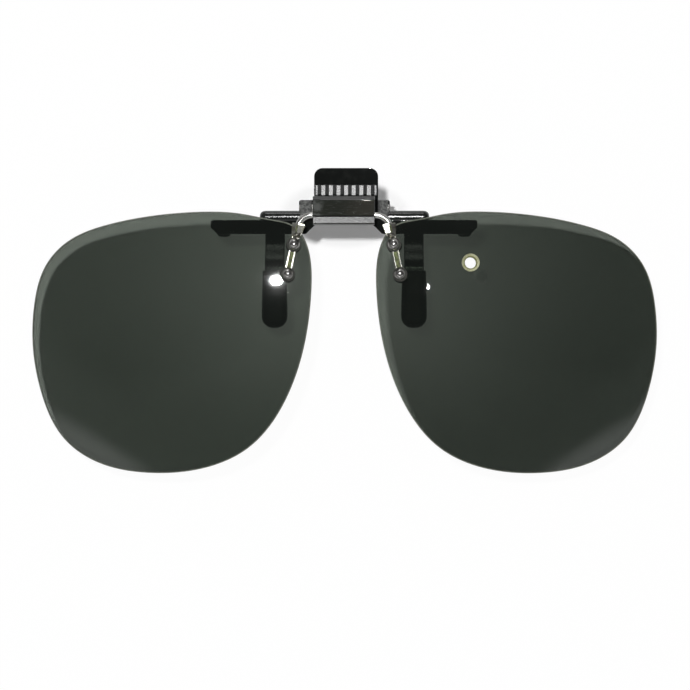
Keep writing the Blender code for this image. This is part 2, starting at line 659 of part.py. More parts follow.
def add_tip_pad(name, side):
    left = side * PAD_X - PAD_WIDTH / 2
    face = rectangle(left, left + PAD_WIDTH, PAD_BOTTOM, PAD_BOTTOM + PAD_HEIGHT)
    corners = [(x, z, PAD_DROP) for x, z in face]
    pad = add_solid(name, prism(rounded(corners), -PAD_THICKNESS, 0, FRONT_VIEW), SOFT_BLACK)
    stud_front = ARM_BACK + SEAT_GAP - PAD_STUD_LENGTH
    stud = prism(circle(PAD_STUD / 2, side * PAD_X), stud_front, OVERLAP - PAD_THICKNESS, FRONT_VIEW)
    combine(pad, stud, "UNION")


def add_hinge_block():
    half = BLOCK_WIDTH / 2
    profile = rounded([
        (BLOCK_BACK, BLOCK_BOTTOM, 0),
        (BLOCK_BACK, BLOCK_TOP, 0),
        (BLOCK_FRONT + BLOCK_BROW, BLOCK_TOP, MOULD_CORNER),
        (BLOCK_FRONT, BLOCK_TOP - BLOCK_BROW, MOULD_CORNER),
        (BLOCK_FRONT, BLOCK_BOTTOM + BLOCK_CHAMFER, MOULD_CORNER),
        (BLOCK_FRONT + BLOCK_BROW, BLOCK_BOTTOM, MOULD_CORNER),
    ])
    block = add_solid("hinge_block", prism(profile, -half, half, SIDE_VIEW), GLOSS_BLACK)
    round_edges(block, MOULD_EDGE)
    channel = WIRE_BORE / 2
    slot = [(BLOCK_BACK + OVERLAP, AXLE_RISE + channel)]
    slot += circle(channel, AXLE_Y, AXLE_RISE)[ROUND_STEPS // 4 : 3 * ROUND_STEPS // 4 + 1]
    slot += [(BLOCK_BACK + OVERLAP, AXLE_RISE - channel)]
    combine(block, prism(slot, -half - OVERLAP, half + OVERLAP, SIDE_VIEW), "DIFFERENCE")
    wide = COVER_WIDTH / 2 + SEAT_GAP
    rebate = rectangle(-wide, wide, 2 * AXLE_RISE - REBATE_TOP, REBATE_TOP)
    pockets = prism(rebate, BLOCK_BACK - COVER_THICKNESS - SEAT_GAP, BLOCK_BACK + OVERLAP, FRONT_VIEW)
    for side in (-1, 1):
        peg = circle(PEG_DIAMETER / 2 + RUNNING_FIT, side * PEG_SPACING / 2, PEG_Z)
        add_prism(pockets, peg, BLOCK_BACK - PEG_LENGTH - SEAT_GAP, BLOCK_BACK + OVERLAP, FRONT_VIEW)
    combine(block, pockets, "DIFFERENCE")


def add_block_inside():
    wide = COVER_WIDTH / 2
    tall = COVER_HEIGHT / 2
    plate = rectangle(-wide, wide, AXLE_RISE - tall, AXLE_RISE + tall)
    corners = [(x, z, MOULD_EDGE) for x, z in plate]
    cover = prism(rounded(corners), BLOCK_BACK - COVER_THICKNESS, BLOCK_BACK, FRONT_VIEW)
    add_solid("axle_cover", cover, MATT_BLACK)

    # The leaf bows from the cover at its ends to the wire at its middle
    crown = AXLE_Y + WIRE_BORE / 2
    ends = BLOCK_BACK - COVER_THICKNESS - SEAT_GAP - LEAF_THICKNESS
    front = []
    for step in range(2 * ARC_STEPS + 1):
        share = step / ARC_STEPS - 1
        front.append((share * LEAF_LENGTH / 2, crown + (ends - crown) * share**2))
    back = [(x, y + LEAF_THICKNESS) for x, y in reversed(front)]
    leaf = prism(front + back, AXLE_RISE - LEAF_HEIGHT / 2, AXLE_RISE + LEAF_HEIGHT / 2, PLAN_VIEW)
    add_solid("friction_leaf", leaf, STEEL)


def add_jaw_pin():
    tip = EAR_OUT - RUNNING_FIT
    radius = PIN_DIAMETER / 2
    profile = [(0, -tip), (radius - PIN_EDGE, -tip), (radius, PIN_EDGE - tip)]
    profile += [(radius, tip - PIN_EDGE), (radius - PIN_EDGE, tip), (0, tip)]
    add_solid("jaw_pin", lathe(profile, along_x(PIN_BACK, PIN_Z)), STEEL)


def spring_path():
    # A leg down the front tab, the curls, and a leg up the rear tab
    radius = SPRING_DIAMETER / 2
    steps = round(SPRING_TURNS * SPRING_CURL_POINTS)
    length = SPRING_TURNS * SPRING_PITCH
    coil = []
    for step in range(steps + 1):
        turn = math.pi + 2 * math.pi * SPRING_TURNS * step / steps
        x = length * (step / steps - 0.5)
        coil.append(Vector((x, PIN_BACK + radius * math.cos(turn), PIN_Z + radius * math.sin(turn))))
    rest = SEAT_GAP + SPRING_WIRE / 2
    front_foot = Vector((-length / 2, ARM_BACK + rest, PIN_Z + SPRING_LEG))
    rear_foot = Vector((length / 2, ROD_Y - REAR_PLATE_THICKNESS / 2 - rest, PIN_Z + SPRING_LEG))
    return [front_foot] + coil + [rear_foot]


def add_jaw_spring():
    path = spring_path()
    seat = add_pivot("spring_centre", (0, PIN_BACK, PIN_Z))
    add_wire("jaw_spring", path, SPRING_WIRE, 1, STEEL, seat)
    # Points more than half a curl apart along the wire are compared
    apart = SPRING_CURL_POINTS // 2
    pairs = [(p, q) for i, p in enumerate(path) for q in path[i + apart :]]
    least = min((p - q).length for p, q in pairs) - SPRING_WIRE
    print(f"jaw_spring: least gap to itself {least / MM:.2f} mm")


def finger_profile():
    # Centre line of a finger from its rod down, drawn forward by a smooth bend into its sleeve
    bend_top = AXLE_RISE - FINGER_BEND_TOP
    foot = SLEEVE_BOTTOM + SLEEVE_FLOOR
    line = [Vector((ROD_Y, ROD_Z))]
    for step in range(FINGER_STEPS + 1):
        share = step / FINGER_STEPS
        ease = share**2 * (3 - 2 * share)
        line.append(Vector((ROD_Y + (SLEEVE_MID - ROD_Y) * ease, bend_top - FINGER_BEND_HEIGHT * share)))
    line.append(Vector((SLEEVE_MID, foot)))
    front = []
    back = []
    for index, point in enumerate(line):
        along = line[min(index + 1, len(line) - 1)] - line[max(index - 1, 0)]
        across = Vector((along.y, -along.x)).normalized() * FINGER_THICKNESS / 2
        front.append(point + across)
        back.append(point - across)
    return front + back[::-1]


def add_rear_jaw(pivot):
    plate_front = ROD_Y - REAR_PLATE_THICKNESS / 2
    plate_back = ROD_Y + REAR_PLATE_THICKNESS / 2
    bar_bottom = AXLE_RISE - CROSSBAR_DROP
    tab_half = REAR_TAB_WIDTH / 2
    soft = MOULD_CORNER
    right = [
        (EAR_OUT, bar_bottom, soft),
        (EAR_OUT, EAR_TOP + EAR_STEP, soft),
        (tab_half, EAR_TOP + EAR_STEP, soft),
        (tab_half, AXLE_RISE + REAR_TAB_RISE, TAB_CORNER),
    ]
    plate = prism(rounded(mirrored(right)), plate_front, plate_back, FRONT_VIEW)
    jaw = add_solid("rear_jaw", plate, GLOSS_BLACK, pivot)
    round_edges(jaw, MOULD_EDGE)
    ear_bottom = EAR_TOP - EAR_HEIGHT
    ear = rectangle(PIN_BACK - EAR_NOSE, plate_front + OVERLAP, ear_bottom, EAR_TOP)
    ears = bmesh.new()
    rods = bmesh.new()
    fingers = bmesh.new()
    rod_radius = ROD_DIAMETER / 2
    for side in (-1, 1):
        near, far = sorted((side * EAR_IN, side * (EAR_OUT - EAR_STEP)))
        add_prism(ears, ear, near, far, SIDE_VIEW)
        end = side * ROD_REACH
        rod = [(0, side * (EAR_OUT - OVERLAP)), (rod_radius, side * (EAR_OUT - OVERLAP))]
        rod += [(rod_radius, end - side * ROD_EDGE), (rod_radius - ROD_EDGE, end), (0, end)]
        add_lathe(rods, rod, along_x(ROD_Y, ROD_Z))
        left = side * FINGER_X - FINGER_WIDTH / 2
        add_prism(fingers, finger_profile(), left, left + FINGER_WIDTH, SIDE_VIEW)
    combine(jaw, ears, "UNION")
    combine(jaw, rods, "UNION")
    combine(jaw, fingers, "UNION")
    combine(jaw, pin_bore(bmesh.new(), -EAR_OUT - OVERLAP, EAR_OUT + OVERLAP), "DIFFERENCE")


def add_sleeve(name, side, pivot):
    left = side * FINGER_X - SLEEVE_WIDTH / 2
    right = left + SLEEVE_WIDTH
    end = SLEEVE_WIDTH / 2 - SLEEVE_EDGE / 2
    corners = [(left, SLEEVE_BOTTOM, end), (right, SLEEVE_BOTTOM, end)]
    corners += [(right, SLEEVE_TOP, 0), (left, SLEEVE_TOP, 0)]
    body = prism(rounded(corners), CLAMP_GAP, CLAMP_GAP + SLEEVE_THICKNESS, FRONT_VIEW)
    sleeve = add_solid(name, body, SOFT_BLACK, pivot)
    round_edges(sleeve, SLEEVE_EDGE, 2)
    wide = FINGER_WIDTH / 2 + SLEEVE_FIT
    deep = FINGER_THICKNESS / 2 + SLEEVE_FIT
    middle = side * FINGER_X
    hole = rectangle(middle - wide, middle + wide, SLEEVE_MID - deep, SLEEVE_MID + deep)
    floor = SLEEVE_BOTTOM + SLEEVE_FLOOR - SLEEVE_FIT
    combine(sleeve, prism(hole, floor, SLEEVE_TOP + OVERLAP, PLAN_VIEW), "DIFFERENCE")


def main():
    clear_scene()
    flip = add_pivot("flip_pivot", (0, AXLE_Y, AXLE_RISE))
    jaw = add_pivot("jaw_pivot", (0, PIN_BACK, PIN_Z))
    for word, side in (("left", -1), ("right", 1)):
        lens = add_lens(f"lens_{word}", side, flip)
        add_bracket(f"bracket_{word}", side, flip)
        add_rivet_stack(f"{word}_upper", RIVET_HALF, side, flip)
        add_rivet_stack(f"{word}_lower", -RIVET_HALF, side, flip)
        add_tip_pad(f"tip_pad_{word}", side)
        add_sleeve(f"sleeve_{word}", side, jaw)
    cut_tag_hole(lens)
    add_wire("flip_axle", wire_path(), WIRE_DIAMETER, 2, CHROME, flip)
    add_front_jaw()
    add_hinge_block()
    add_block_inside()
    add_jaw_pin()
    add_jaw_spring()
    add_rear_jaw(jaw)


main()
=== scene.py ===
import json
import math

import bmesh
import bpy
import numpy as np
from mathutils import Matrix, Vector


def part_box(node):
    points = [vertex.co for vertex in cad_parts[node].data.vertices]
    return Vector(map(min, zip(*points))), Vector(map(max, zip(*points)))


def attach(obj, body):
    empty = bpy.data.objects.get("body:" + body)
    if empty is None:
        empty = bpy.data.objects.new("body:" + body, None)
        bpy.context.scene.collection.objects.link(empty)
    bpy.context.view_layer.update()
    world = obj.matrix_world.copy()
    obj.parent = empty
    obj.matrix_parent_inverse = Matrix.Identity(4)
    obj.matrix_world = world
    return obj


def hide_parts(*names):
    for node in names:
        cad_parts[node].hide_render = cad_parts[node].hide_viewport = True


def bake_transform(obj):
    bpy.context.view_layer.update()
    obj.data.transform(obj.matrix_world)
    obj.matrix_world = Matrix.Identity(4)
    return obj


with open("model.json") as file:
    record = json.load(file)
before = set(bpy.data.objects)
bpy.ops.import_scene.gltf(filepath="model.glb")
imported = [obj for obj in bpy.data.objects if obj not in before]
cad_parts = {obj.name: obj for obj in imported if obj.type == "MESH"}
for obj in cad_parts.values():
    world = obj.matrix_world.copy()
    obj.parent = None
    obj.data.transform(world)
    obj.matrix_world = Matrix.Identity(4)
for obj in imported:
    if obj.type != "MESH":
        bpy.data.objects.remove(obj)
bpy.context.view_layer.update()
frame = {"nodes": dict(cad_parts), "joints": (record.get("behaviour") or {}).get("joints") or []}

mm = 0.001
axes = {joint["name"]: Vector(joint["pos_m"]) for joint in frame["joints"]}
axle = axes["flip_up"]  # the wire's straight middle
pin = axes["jaw_open"]
sides = {"Left": -1, "Right": 1}


# Shader sums: a socket that takes part in Python expressions
class Flow:
    def __init__(self, tree, socket=None):
        self.tree = tree
        self.socket = socket

    def add(self, kind, settings=None, sockets=None, out=0):
        node = self.tree.nodes.new(kind)
        for name, value in (settings or {}).items():
            setattr(node, name, value)
        for name, value in (sockets or {}).items():
            self.feed(node.inputs[name], value)
        return Flow(self.tree, node.outputs[out])

    def feed(self, target, value):
        if isinstance(value, Flow):
            self.tree.links.new(value.socket, target)
        else:
            target.default_value = value

    def sum(self, operation, first, second):
        return self.add("ShaderNodeMath", {"operation": operation}, {0: first, 1: second})

    def __add__(self, other):
        return self.sum("ADD", self, other)

    def __radd__(self, other):
        return self.sum("ADD", other, self)

    def __sub__(self, other):
        return self.sum("SUBTRACT", self, other)

    def __rsub__(self, other):
        return self.sum("SUBTRACT", other, self)

    def __mul__(self, other):
        return self.sum("MULTIPLY", self, other)

    def __rmul__(self, other):
        return self.sum("MULTIPLY", other, self)

    def __gt__(self, other):
        return self.sum("GREATER_THAN", self, other)

    def most(self, other):
        return self.sum("MAXIMUM", self, other)

    def ease(self, low, high):
        # 0 below low, 1 above high, smooth between
        settings = {"interpolation_type": "SMOOTHSTEP"}
        return self.add("ShaderNodeMapRange", settings, {"Value": self, "From Min": low, "From Max": high})

    def blend(self, dark, light):
        # this value mixes two colours
        return self.add("ShaderNodeMix", {"data_type": "RGBA"}, {0: self, 6: dark, 7: light}, 2)

    def vector(self, operation, other=(0, 0, 0), out=0):
        return self.add("ShaderNodeVectorMath", {"operation": operation}, {0: self, 1: other}, out)

    def stretch(self, scale):
        return self.vector("MULTIPLY", scale)

    def part(self, axis):
        return self.add("ShaderNodeSeparateXYZ", None, {0: self}, axis)

    def cloud(self, size, detail=3.0, rough=0.55):
        # soft noise whose blots are about this many mm across
        values = {"Vector": self, "Scale": 1 / (size * mm), "Detail": detail, "Roughness": rough}
        return self.add("ShaderNodeTexNoise", None, values, "Fac")

    def scratches(self, length, width, share):
        # thin marks along X, where a stretched cell pattern comes near a border
        drawn = self.stretch((width / length, 1, 1))
        bent = drawn.cloud(width * 6, 2)
        cell = {"Vector": drawn, "Scale": 1 / (width * 8 * mm), "Randomness": 1.0}
        border = self.add("ShaderNodeTexVoronoi", {"feature": "DISTANCE_TO_EDGE"}, cell, "Distance")
        return (1 - border.ease(0.0, 0.05)) * bent.ease(1 - share, 1.0)


def colour(red, green, blue):
    return (red, green, blue, 1.0)


def startFinish(name):
    material = bpy.data.materials.new(name)
    material.use_nodes = True
    tree = material.node_tree
    place = Flow(tree).add("ShaderNodeTexCoord", None, None, "Object")
    return material, tree.nodes["Principled BSDF"], place


def setFinish(place, shader, values, bump=None, height=0.0):
    for name, value in values.items():
        place.feed(shader.inputs[name], value)
    if bump:
        sockets = {"Strength": 1.0, "Distance": height * mm, "Height": bump}
        place.feed(shader.inputs["Normal"], place.add("ShaderNodeBump", None, sockets, "Normal"))


# Finishes of one grain: dark and light, the grain's mm across, detail and roughness, where dark turns to
# light, the surface's roughness and what the grain adds to it, the bump's mm, and values that stay the same
dullGrain = {"grain": (0.45, 4, 0.6), "turn": (0.35, 0.7), "rough": (0.6, 0.2), "bump": 0.01}
lensCut = {
    "grain": (0.35, 3, 0.55), "turn": (0.35, 0.7), "rough": (0.45, 0.15), "bump": 0.004,
    "same": {"Alpha": 0.88}, "stretch": (1, 0.25, 1),
}
grained = {
    "satinBlack": {
        "shades": (colour(0.006, 0.007, 0.0065), colour(0.016, 0.017, 0.016)),
        "grain": (0.5, 3, 0.6), "turn": (0.35, 0.7), "rough": (0.16, 0.1), "bump": 0.02,
        "same": {"IOR": 1.43},
    },
    "earGrain": {
        "shades": (colour(0.012, 0.013, 0.012), colour(0.105, 0.109, 0.103)),
        "grain": (0.5, 4, 0.75), "turn": (0.40, 0.60), "rough": (0.5, 0.25), "bump": 0.03,
    },
    "springSteel": {
        "shades": (colour(0.58, 0.57, 0.55), colour(0.33, 0.32, 0.31)),
        "grain": (0.5, 4, 0.6), "turn": (0.35, 0.7), "rough": (0.24, 0.18), "bump": 0.004,
        "same": {"Metallic": 1.0},
    },
    # painted shade: the eye discs under the rivet balls are dark and dull instead of chrome
    "paintedEyeShade": dullGrain | {"shades": (colour(0.010, 0.010, 0.008), colour(0.045, 0.044, 0.036))},
    "groove": dullGrain | {"shades": (colour(0.030, 0.033, 0.010), colour(0.22, 0.26, 0.10))},
    "lensEdge": lensCut | {"shades": (colour(0.095, 0.105, 0.082), colour(0.175, 0.19, 0.15))},
    "lensBore": lensCut | {"shades": (colour(0.12, 0.13, 0.035), colour(0.26, 0.27, 0.10))},
    "lensSink": lensCut | {"shades": (colour(0.38, 0.38, 0.20), colour(0.60, 0.60, 0.42))},
}


def makeGrained(name, look):
    material, shader, place = startFinish(name)
    grain = place.stretch(look.get("stretch", (1, 1, 1))).cloud(*look["grain"])
    plain, added = look["rough"]
    setFinish(place, shader, look.get("same", {}) | {
        "Base Color": grain.ease(*look["turn"]).blend(*look["shades"]),
        "Roughness": plain + grain * added,
    }, grain, look["bump"])
    return material


# Finishes under patches of dust, haze or milk, which lift the fine skin's bump by a share
chrome = {
    "patch": (0.8, 4), "turn": (0.4, 0.7), "fine": (0.09, 2), "lift": 0.4, "bump": 0.0008,
    "same": {"Metallic": 1.0},
}
patchy = {
    "softRubber": {
        "shades": (colour(0.008, 0.009, 0.009), colour(0.026, 0.027, 0.026)),
        "patch": (0.9, 5, 0.65), "turn": (0.45, 0.8), "rough": (0.38, 0.25), "fine": (0.1, 2), "lift": 0.5,
        "bump": 0.008, "same": {"IOR": 1.3},
    },
    "cloudyNylon": {
        "shades": (colour(0.17, 0.18, 0.16), colour(0.30, 0.31, 0.28)),
        "patch": (0.7, 3), "turn": (0.35, 0.7), "rough": (0.3, 0.15), "lift": 1.0,
        "bump": 0.004, "same": {"Alpha": 0.7},
    },
    "wireChrome": chrome | {
        "shades": (colour(0.42, 0.42, 0.41), colour(0.31, 0.31, 0.29)), "rough": (0.16, 0.04),
    },
    "bracketChrome": chrome | {
        "shades": (colour(0.84, 0.84, 0.77), colour(0.52, 0.52, 0.40)), "rough": (0.068, 0.02),
    },
    "ballChrome": chrome | {
        "shades": (colour(0.38, 0.37, 0.36), colour(0.30, 0.29, 0.28)), "rough": (0.24, 0.02),
    },
}


def makePatchy(name, look):
    material, shader, place = startFinish(name)
    patch = place.cloud(*look["patch"]).ease(*look["turn"])
    plain, added = look["rough"]
    skin = patch * look["lift"]
    if "fine" in look:
        skin = skin + place.cloud(*look["fine"])
    setFinish(place, shader, look["same"] | {
        "Base Color": patch.blend(*look["shades"]),
        "Roughness": plain + patch * added,
    }, skin, look["bump"])
    return material


glossBlack = {
    "deep": colour(0.006, 0.007, 0.0065),
    "scuffed": colour(0.030, 0.033, 0.028),
    "smooth": 0.02,
    "worn": 0.02,  # roughness that handling adds
    "patch": (1.6, 4),  # handled patches: mm across, detail
    "fine": (0.12, 2),
    "scratch": (2.4, 0.06, 0.6),  # mm long, mm wide, share kept
    "ior": (1.5, 0.15),  # new, and what wear adds
    "bump": 0.0005,
}


def makeGlossBlack(name, wear):
    material, shader, place = startFinish(name)
    patch = place.cloud(*glossBlack["patch"]).ease(0.45, 0.75)
    fine = place.cloud(*glossBlack["fine"])
    marks = place.scratches(*glossBlack["scratch"])
    worn = patch * wear
    plain, added = glossBlack["ior"]
    setFinish(place, shader, {
        "Base Color": (worn * 0.8 + marks * wear * 0.6).blend(glossBlack["deep"], glossBlack["scuffed"]),
        "Roughness": glossBlack["smooth"] + worn * glossBlack["worn"],
        "IOR": plain + wear * added,
    }, fine * 0.15 + patch * 0.2 * wear - marks * 0.6 * wear, glossBlack["bump"])
    return material


etched = {
    "dark": colour(0.010, 0.011, 0.010),
    "light": colour(0.050, 0.052, 0.055),
    "grain": (0.5, 4, 0.75),
    "blot": (1.1, 3),
    "bump": 0.04,
}


def makeEtched(name):
    # coarse mould texture on the slanted faces
    material, shader, place = startFinish(name)
    grain = place.cloud(*etched["grain"])
    blot = place.stretch((0.6, 1, 1)).cloud(*etched["blot"])
    setFinish(place, shader, {
        "Base Color": (grain * 0.6 + blot * 0.4).ease(0.4, 0.65).blend(etched["dark"], etched["light"]),
        "Roughness": 0.1 + blot * 0.17,
        "IOR": 2.2,
    }, grain, etched["bump"])
    return material


faceWear = {
    "dark": colour(0.020, 0.022, 0.018),
    "brown": colour(0.032, 0.031, 0.026),
    "scuffed": colour(0.115, 0.120, 0.115),
    "edge": 5.4 * mm,  # fully rubbed from here to the left edge
    "fade": 1.6 * mm,
    "drag": (0.22, 4, 0.7),
    "speck": (0.45, 2),
    "blot": (0.9, 4, 0.65),
    "bump": 0.0003,
}


def makeFaceWear(name):
    # handled front of the block: fine drags along it, specks and a rubbed end
    material, shader, place = startFinish(name)
    along = place.part("X")
    drag = place.stretch((0.12, 1, 1)).cloud(*faceWear["drag"])
    speck = place.cloud(*faceWear["speck"]).ease(0.66, 0.74)
    blot = place.stretch((0.5, 1, 1)).cloud(*faceWear["blot"])
    edge = faceWear["edge"]
    rubbed = (0 - along).ease(edge - faceWear["fade"], edge) * blot.ease(0.35, 0.6)
    pale = (drag.ease(0.52, 0.75) * 0.35 + speck * 0.5).most(rubbed * 0.7)
    ground = (along * (0.12 / mm) + blot * 0.6).ease(0.1, 0.9).blend(faceWear["dark"], faceWear["brown"])
    setFinish(place, shader, {
        "Base Color": pale.blend(ground, faceWear["scuffed"]),
        "Roughness": glossBlack["smooth"],
        "IOR": 1.5,
    }, drag, faceWear["bump"])
    return material


lensTint = {
    "deep": colour(0.009, 0.0108, 0.0096),
    "dusty": colour(0.021, 0.023, 0.021),
    "passed": colour(0.94, 1.0, 0.925),
    "left": 0.625,  # cover of each of a lens's two faces
    # painted shade: the right lens's denser cover darkens it as less light behind it would
    "right": 0.655,
    "film": 0.007,  # handled film, a faint glow round a highlight
    "filmRough": 0.17,
    "wiped": (9.0, 4, 0.6),
    "dust": (0.35, 2),
}


def makeLensTint(name):
    material, shader, place = startFinish(name)
    wiped = place.stretch((0.45, 1, 1)).cloud(*lensTint["wiped"]).ease(0.5, 0.8)
    dust = place.cloud(*lensTint["dust"]).ease(0.70, 0.78)
    onRight = place.part("X") > 0.0
    setFinish(place, shader, {
        "Base Color": (wiped * 0.25 + dust * 0.5).blend(lensTint["deep"], lensTint["dusty"]),
        "Roughness": 0.025 + wiped * 0.03 + dust * 0.1,
        "IOR": 1.5,
        "Coat Weight": lensTint["film"],
        "Coat Roughness": lensTint["filmRough"],
    })
    tree = material.node_tree
    clear = place.add("ShaderNodeBsdfTransparent", None, {"Color": lensTint["passed"]})
    # painted shade: the right lens gets a denser cover than the left, standing in for the darker light
    # behind it
    cover = lensTint["left"] + onRight * (lensTint["right"] - lensTint["left"])
    solid = Flow(tree, shader.outputs[0])
    tinted = place.add("ShaderNodeMixShader", None, {0: cover, 1: clear, 2: solid})
    place.feed(tree.nodes["Material Output"].inputs["Surface"], tinted)
    return material


finishes = {name: makeGrained(name, look) for name, look in grained.items()}
finishes |= {name: makePatchy(name, look) for name, look in patchy.items()}
finishes |= {
    "glossBlack": makeGlossBlack("glossBlack", 0.2),
    "wornBlack": makeGlossBlack("wornBlack", 1.0),
    "etchedBlack": makeEtched("etchedBlack"),
    "faceWear": makeFaceWear("faceWear"),
    "lensTint": makeLensTint("lensTint"),
}
print("finishes:", len(finishes))


# Solids
roundSteps = 40
arcSteps = 8
overlap = 0.5 * mm  # how far joined and cut shapes run into each other

# Ways of laying an outline into the frame: across, up, thickness
frontView = Matrix(((1, 0, 0, 0), (0, 0, 1, 0), (0, 1, 0, 0), (0, 0, 0, 1)))
sideView = Matrix(((0, 0, 1, 0), (1, 0, 0, 0), (0, 1, 0, 0), (0, 0, 0, 1)))


def newPiece(name, bm, materials):
    mesh = bpy.data.meshes.new(name)
    bm.to_mesh(mesh)
    bm.free()
    for material in materials:
        mesh.materials.append(material)
    piece = bpy.data.objects.new(name, mesh)
    bpy.context.scene.collection.objects.link(piece)
    return piece


def newSolid(name, bm, *looks):
    bmesh.ops.recalc_face_normals(bm, faces=bm.faces)
    return newPiece(name, bm, [finishes[look] for look in looks])


def combine(solid, bm, operation, look):
    # the tool's faces take the look, or else the solid's first one
    materials = list(solid.data.materials)
    zone = materials.index(finishes[look]) if look else 0
    for face in bm.faces:
        face.material_index = zone
    bmesh.ops.recalc_face_normals(bm, faces=bm.faces)
    tool = newPiece(solid.name + "-tool", bm, materials)
    change = solid.modifiers.new("Change", "BOOLEAN")
    change.operation = operation
    change.solver = "EXACT"
    change.object = tool
    graph = bpy.context.evaluated_depsgraph_get()
    plain = solid.data
    solid.data = bpy.data.meshes.new_from_object(solid.evaluated_get(graph))
    solid.modifiers.clear()
    bpy.data.meshes.remove(plain)
    bpy.data.objects.remove(tool)


def join(solid, bm, look=None):
    combine(solid, bm, "UNION", look)


def carve(solid, bm, look=None):
    combine(solid, bm, "DIFFERENCE", look)


def shade(solid, sharp):
    solid.data.shade_smooth()
    solid.data.set_sharp_from_angle(angle=math.radians(sharp))


def finishSolid(solid, body, node, sharp=32):
    shade(solid, sharp)
    even = solid.modifiers.new("Even", "WEIGHTED_NORMAL")
    even.keep_sharp = True
    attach(solid, body)
    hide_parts(node)
    return solid


def soften(bm, width, segments=3, limit=45):
    bmesh.ops.recalc_face_normals(bm, faces=bm.faces)
    edges = [e for e in bm.edges if e.is_manifold and e.calc_face_angle() > math.radians(limit)]
    bmesh.ops.bevel(bm, geom=edges, offset=width, segments=segments, profile=0.5, affect="EDGES")
    return bm


def smooth(share):
    return share**2 * (3 - 2 * share)


def between(first, second, share):
    return first + (second - first) * share


def bend(start, knee, end, steps):
    # points of a curve from start to end, drawn towards the knee
    shares = [step / steps for step in range(steps + 1)]
    return [start * (1 - t) ** 2 + knee * 2 * t * (1 - t) + end * t**2 for t in shares]


def mirrored(points):
    return points + [(-p[0],) + tuple(p[1:]) for p in reversed(points)]


def rounded(corners):
    # closed outline from corners (across, up, radius)
    outline = []
    for index, (across, up, radius) in enumerate(corners):
        corner = Vector((across, up))
        if not radius:
            outline.append(corner)
            continue
        back = (Vector(corners[index - 1][:2]) - corner).normalized()
        ahead = (Vector(corners[(index + 1) % len(corners)][:2]) - corner).normalized()
        half = back.angle(ahead) / 2
        centre = corner + (back + ahead).normalized() * (radius / math.sin(half))
        start = corner + back * (radius / math.tan(half)) - centre
        sweep = math.copysign(math.pi - 2 * half, -ahead.cross(back))
        for step in range(arcSteps + 1):
            outline.append(centre + Matrix.Rotation(-sweep * step / arcSteps, 2) @ start)
    return outline


def circle(radius, across=0.0, up=0.0, steps=roundSteps):
    turns = [2 * math.pi * step / steps for step in range(steps)]
    return [(across + radius * math.cos(t), up + radius * math.sin(t)) for t in turns]


def squared(power, steps=48):
    # unit circle drawn out towards a square's corners
    ring = circle(1.0, steps=steps)
    return [(math.copysign(abs(x) ** power, x), math.copysign(abs(y) ** power, y)) for x, y in ring]


def rectangle(left, right, bottom, top):
    return [(left, bottom), (right, bottom), (right, top), (left, top)]


def loft(rows, loop=False, bm=None):
    # skin over rows of points; a row of one point closes as a fan, and an open end gets a face
    bm = bmesh.new() if bm is None else bm
    rings = [[bm.verts.new(point) for point in row] for row in rows]
    for ring in (rings[0], rings[-1]):
        if len(ring) > 1 and not loop:
            bm.faces.new(ring)
    pairs = list(zip(rings, rings[1:]))
    if loop:
        pairs.append((rings[-1], rings[0]))
    for near, far in pairs:
        count = max(len(near), len(far))
        for step in range(count):
            ahead = (step + 1) % count
            quad = [near[step % len(near)], near[ahead % len(near)]]
            quad += [far[ahead % len(far)], far[step % len(far)]]
            bm.faces.new(dict.fromkeys(quad))
    return bm


def prism(outline, low, high, view, bm=None):
    return loft([[view @ Vector((p[0], p[1], level)) for p in outline] for level in (low, high)], False, bm)


def lathe(profile, place, loop=False):
    # profile of (radius, height) turned about the place's third axis
    rows = []
    for radius, height in profile:
        ring = circle(radius) if radius else [(0, 0)]
        rows.append([place @ Vector((x, y, height)) for x, y in ring])
    return loft(rows, loop)


def easedProfile(corners, loop=False):
    # lathe profile from corners (radius, height, rounding)
    points = []
    count = len(corners)
    for index, (radius, height, soft) in enumerate(corners):
        corner = Vector((radius, height))
        inner = loop or 0 < index < count - 1
        if not soft or not inner:
            points.append((radius, height))
            continue
        back = Vector(corners[index - 1][:2]) - corner
        ahead = Vector(corners[(index + 1) % count][:2]) - corner
        points += bend(corner + back.normalized() * soft, corner, corner + ahead.normalized() * soft, 4)
    return points


def tube(path, radius, steps, cap):
    # round wire along a path, with eased ends
    ahead = [(b - a).normalized() for a, b in zip(path, path[1:])]
    along = [ahead[0]] + [(a + b).normalized() for a, b in zip(ahead, ahead[1:])] + [ahead[-1]]
    across = along[0].orthogonal().normalized()
    stations = [(path[0] - along[0] * cap, size, along[0]) for size in (0.0, radius - cap)]
    stations += [(place, radius, way) for place, way in zip(path, along)]
    stations += [(path[-1] + along[-1] * cap, size, along[-1]) for size in (radius - cap, 0.0)]
    rows = []
    for place, size, way in stations:
        across = (across - way * across.dot(way)).normalized()
        up = way.cross(across)
        ring = circle(size, steps=steps) if size else [(0, 0)]
        rows.append([place + across * x + up * y for x, y in ring])
    return loft(rows)


def toSide(bm, side):
    # shapes are built for the right and reflected for the left
    if side < 0:
        bmesh.ops.scale(bm, vec=(-1, 1, 1), verts=bm.verts)
    return bm


def alongX(y, z):
    return Matrix.Translation((0, y, z)) @ Matrix.Rotation(math.pi / 2, 4, "Y")


# Front jaw sizes that the lenses and the block also follow
arms = {
    "reach": 28.1 * mm,
    "height": 3.0 * mm,
    "thick": 1.5 * mm,
    "tipCut": 1.4 * mm,
    "edge": 0.1 * mm,
    "corner": 0.5 * mm,
    "padRoom": 1.5 * mm,  # from the arms' back to the pads'
    "studHole": 0.75 * mm,
    "studDepth": 0.8 * mm,
}
seatGap = 0.3 * mm
padLow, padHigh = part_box("tip_pad_right")
padX = (padLow.x + padHigh.x) / 2
armBack = padHigh.y - arms["padRoom"]
armFront = armBack - arms["thick"]

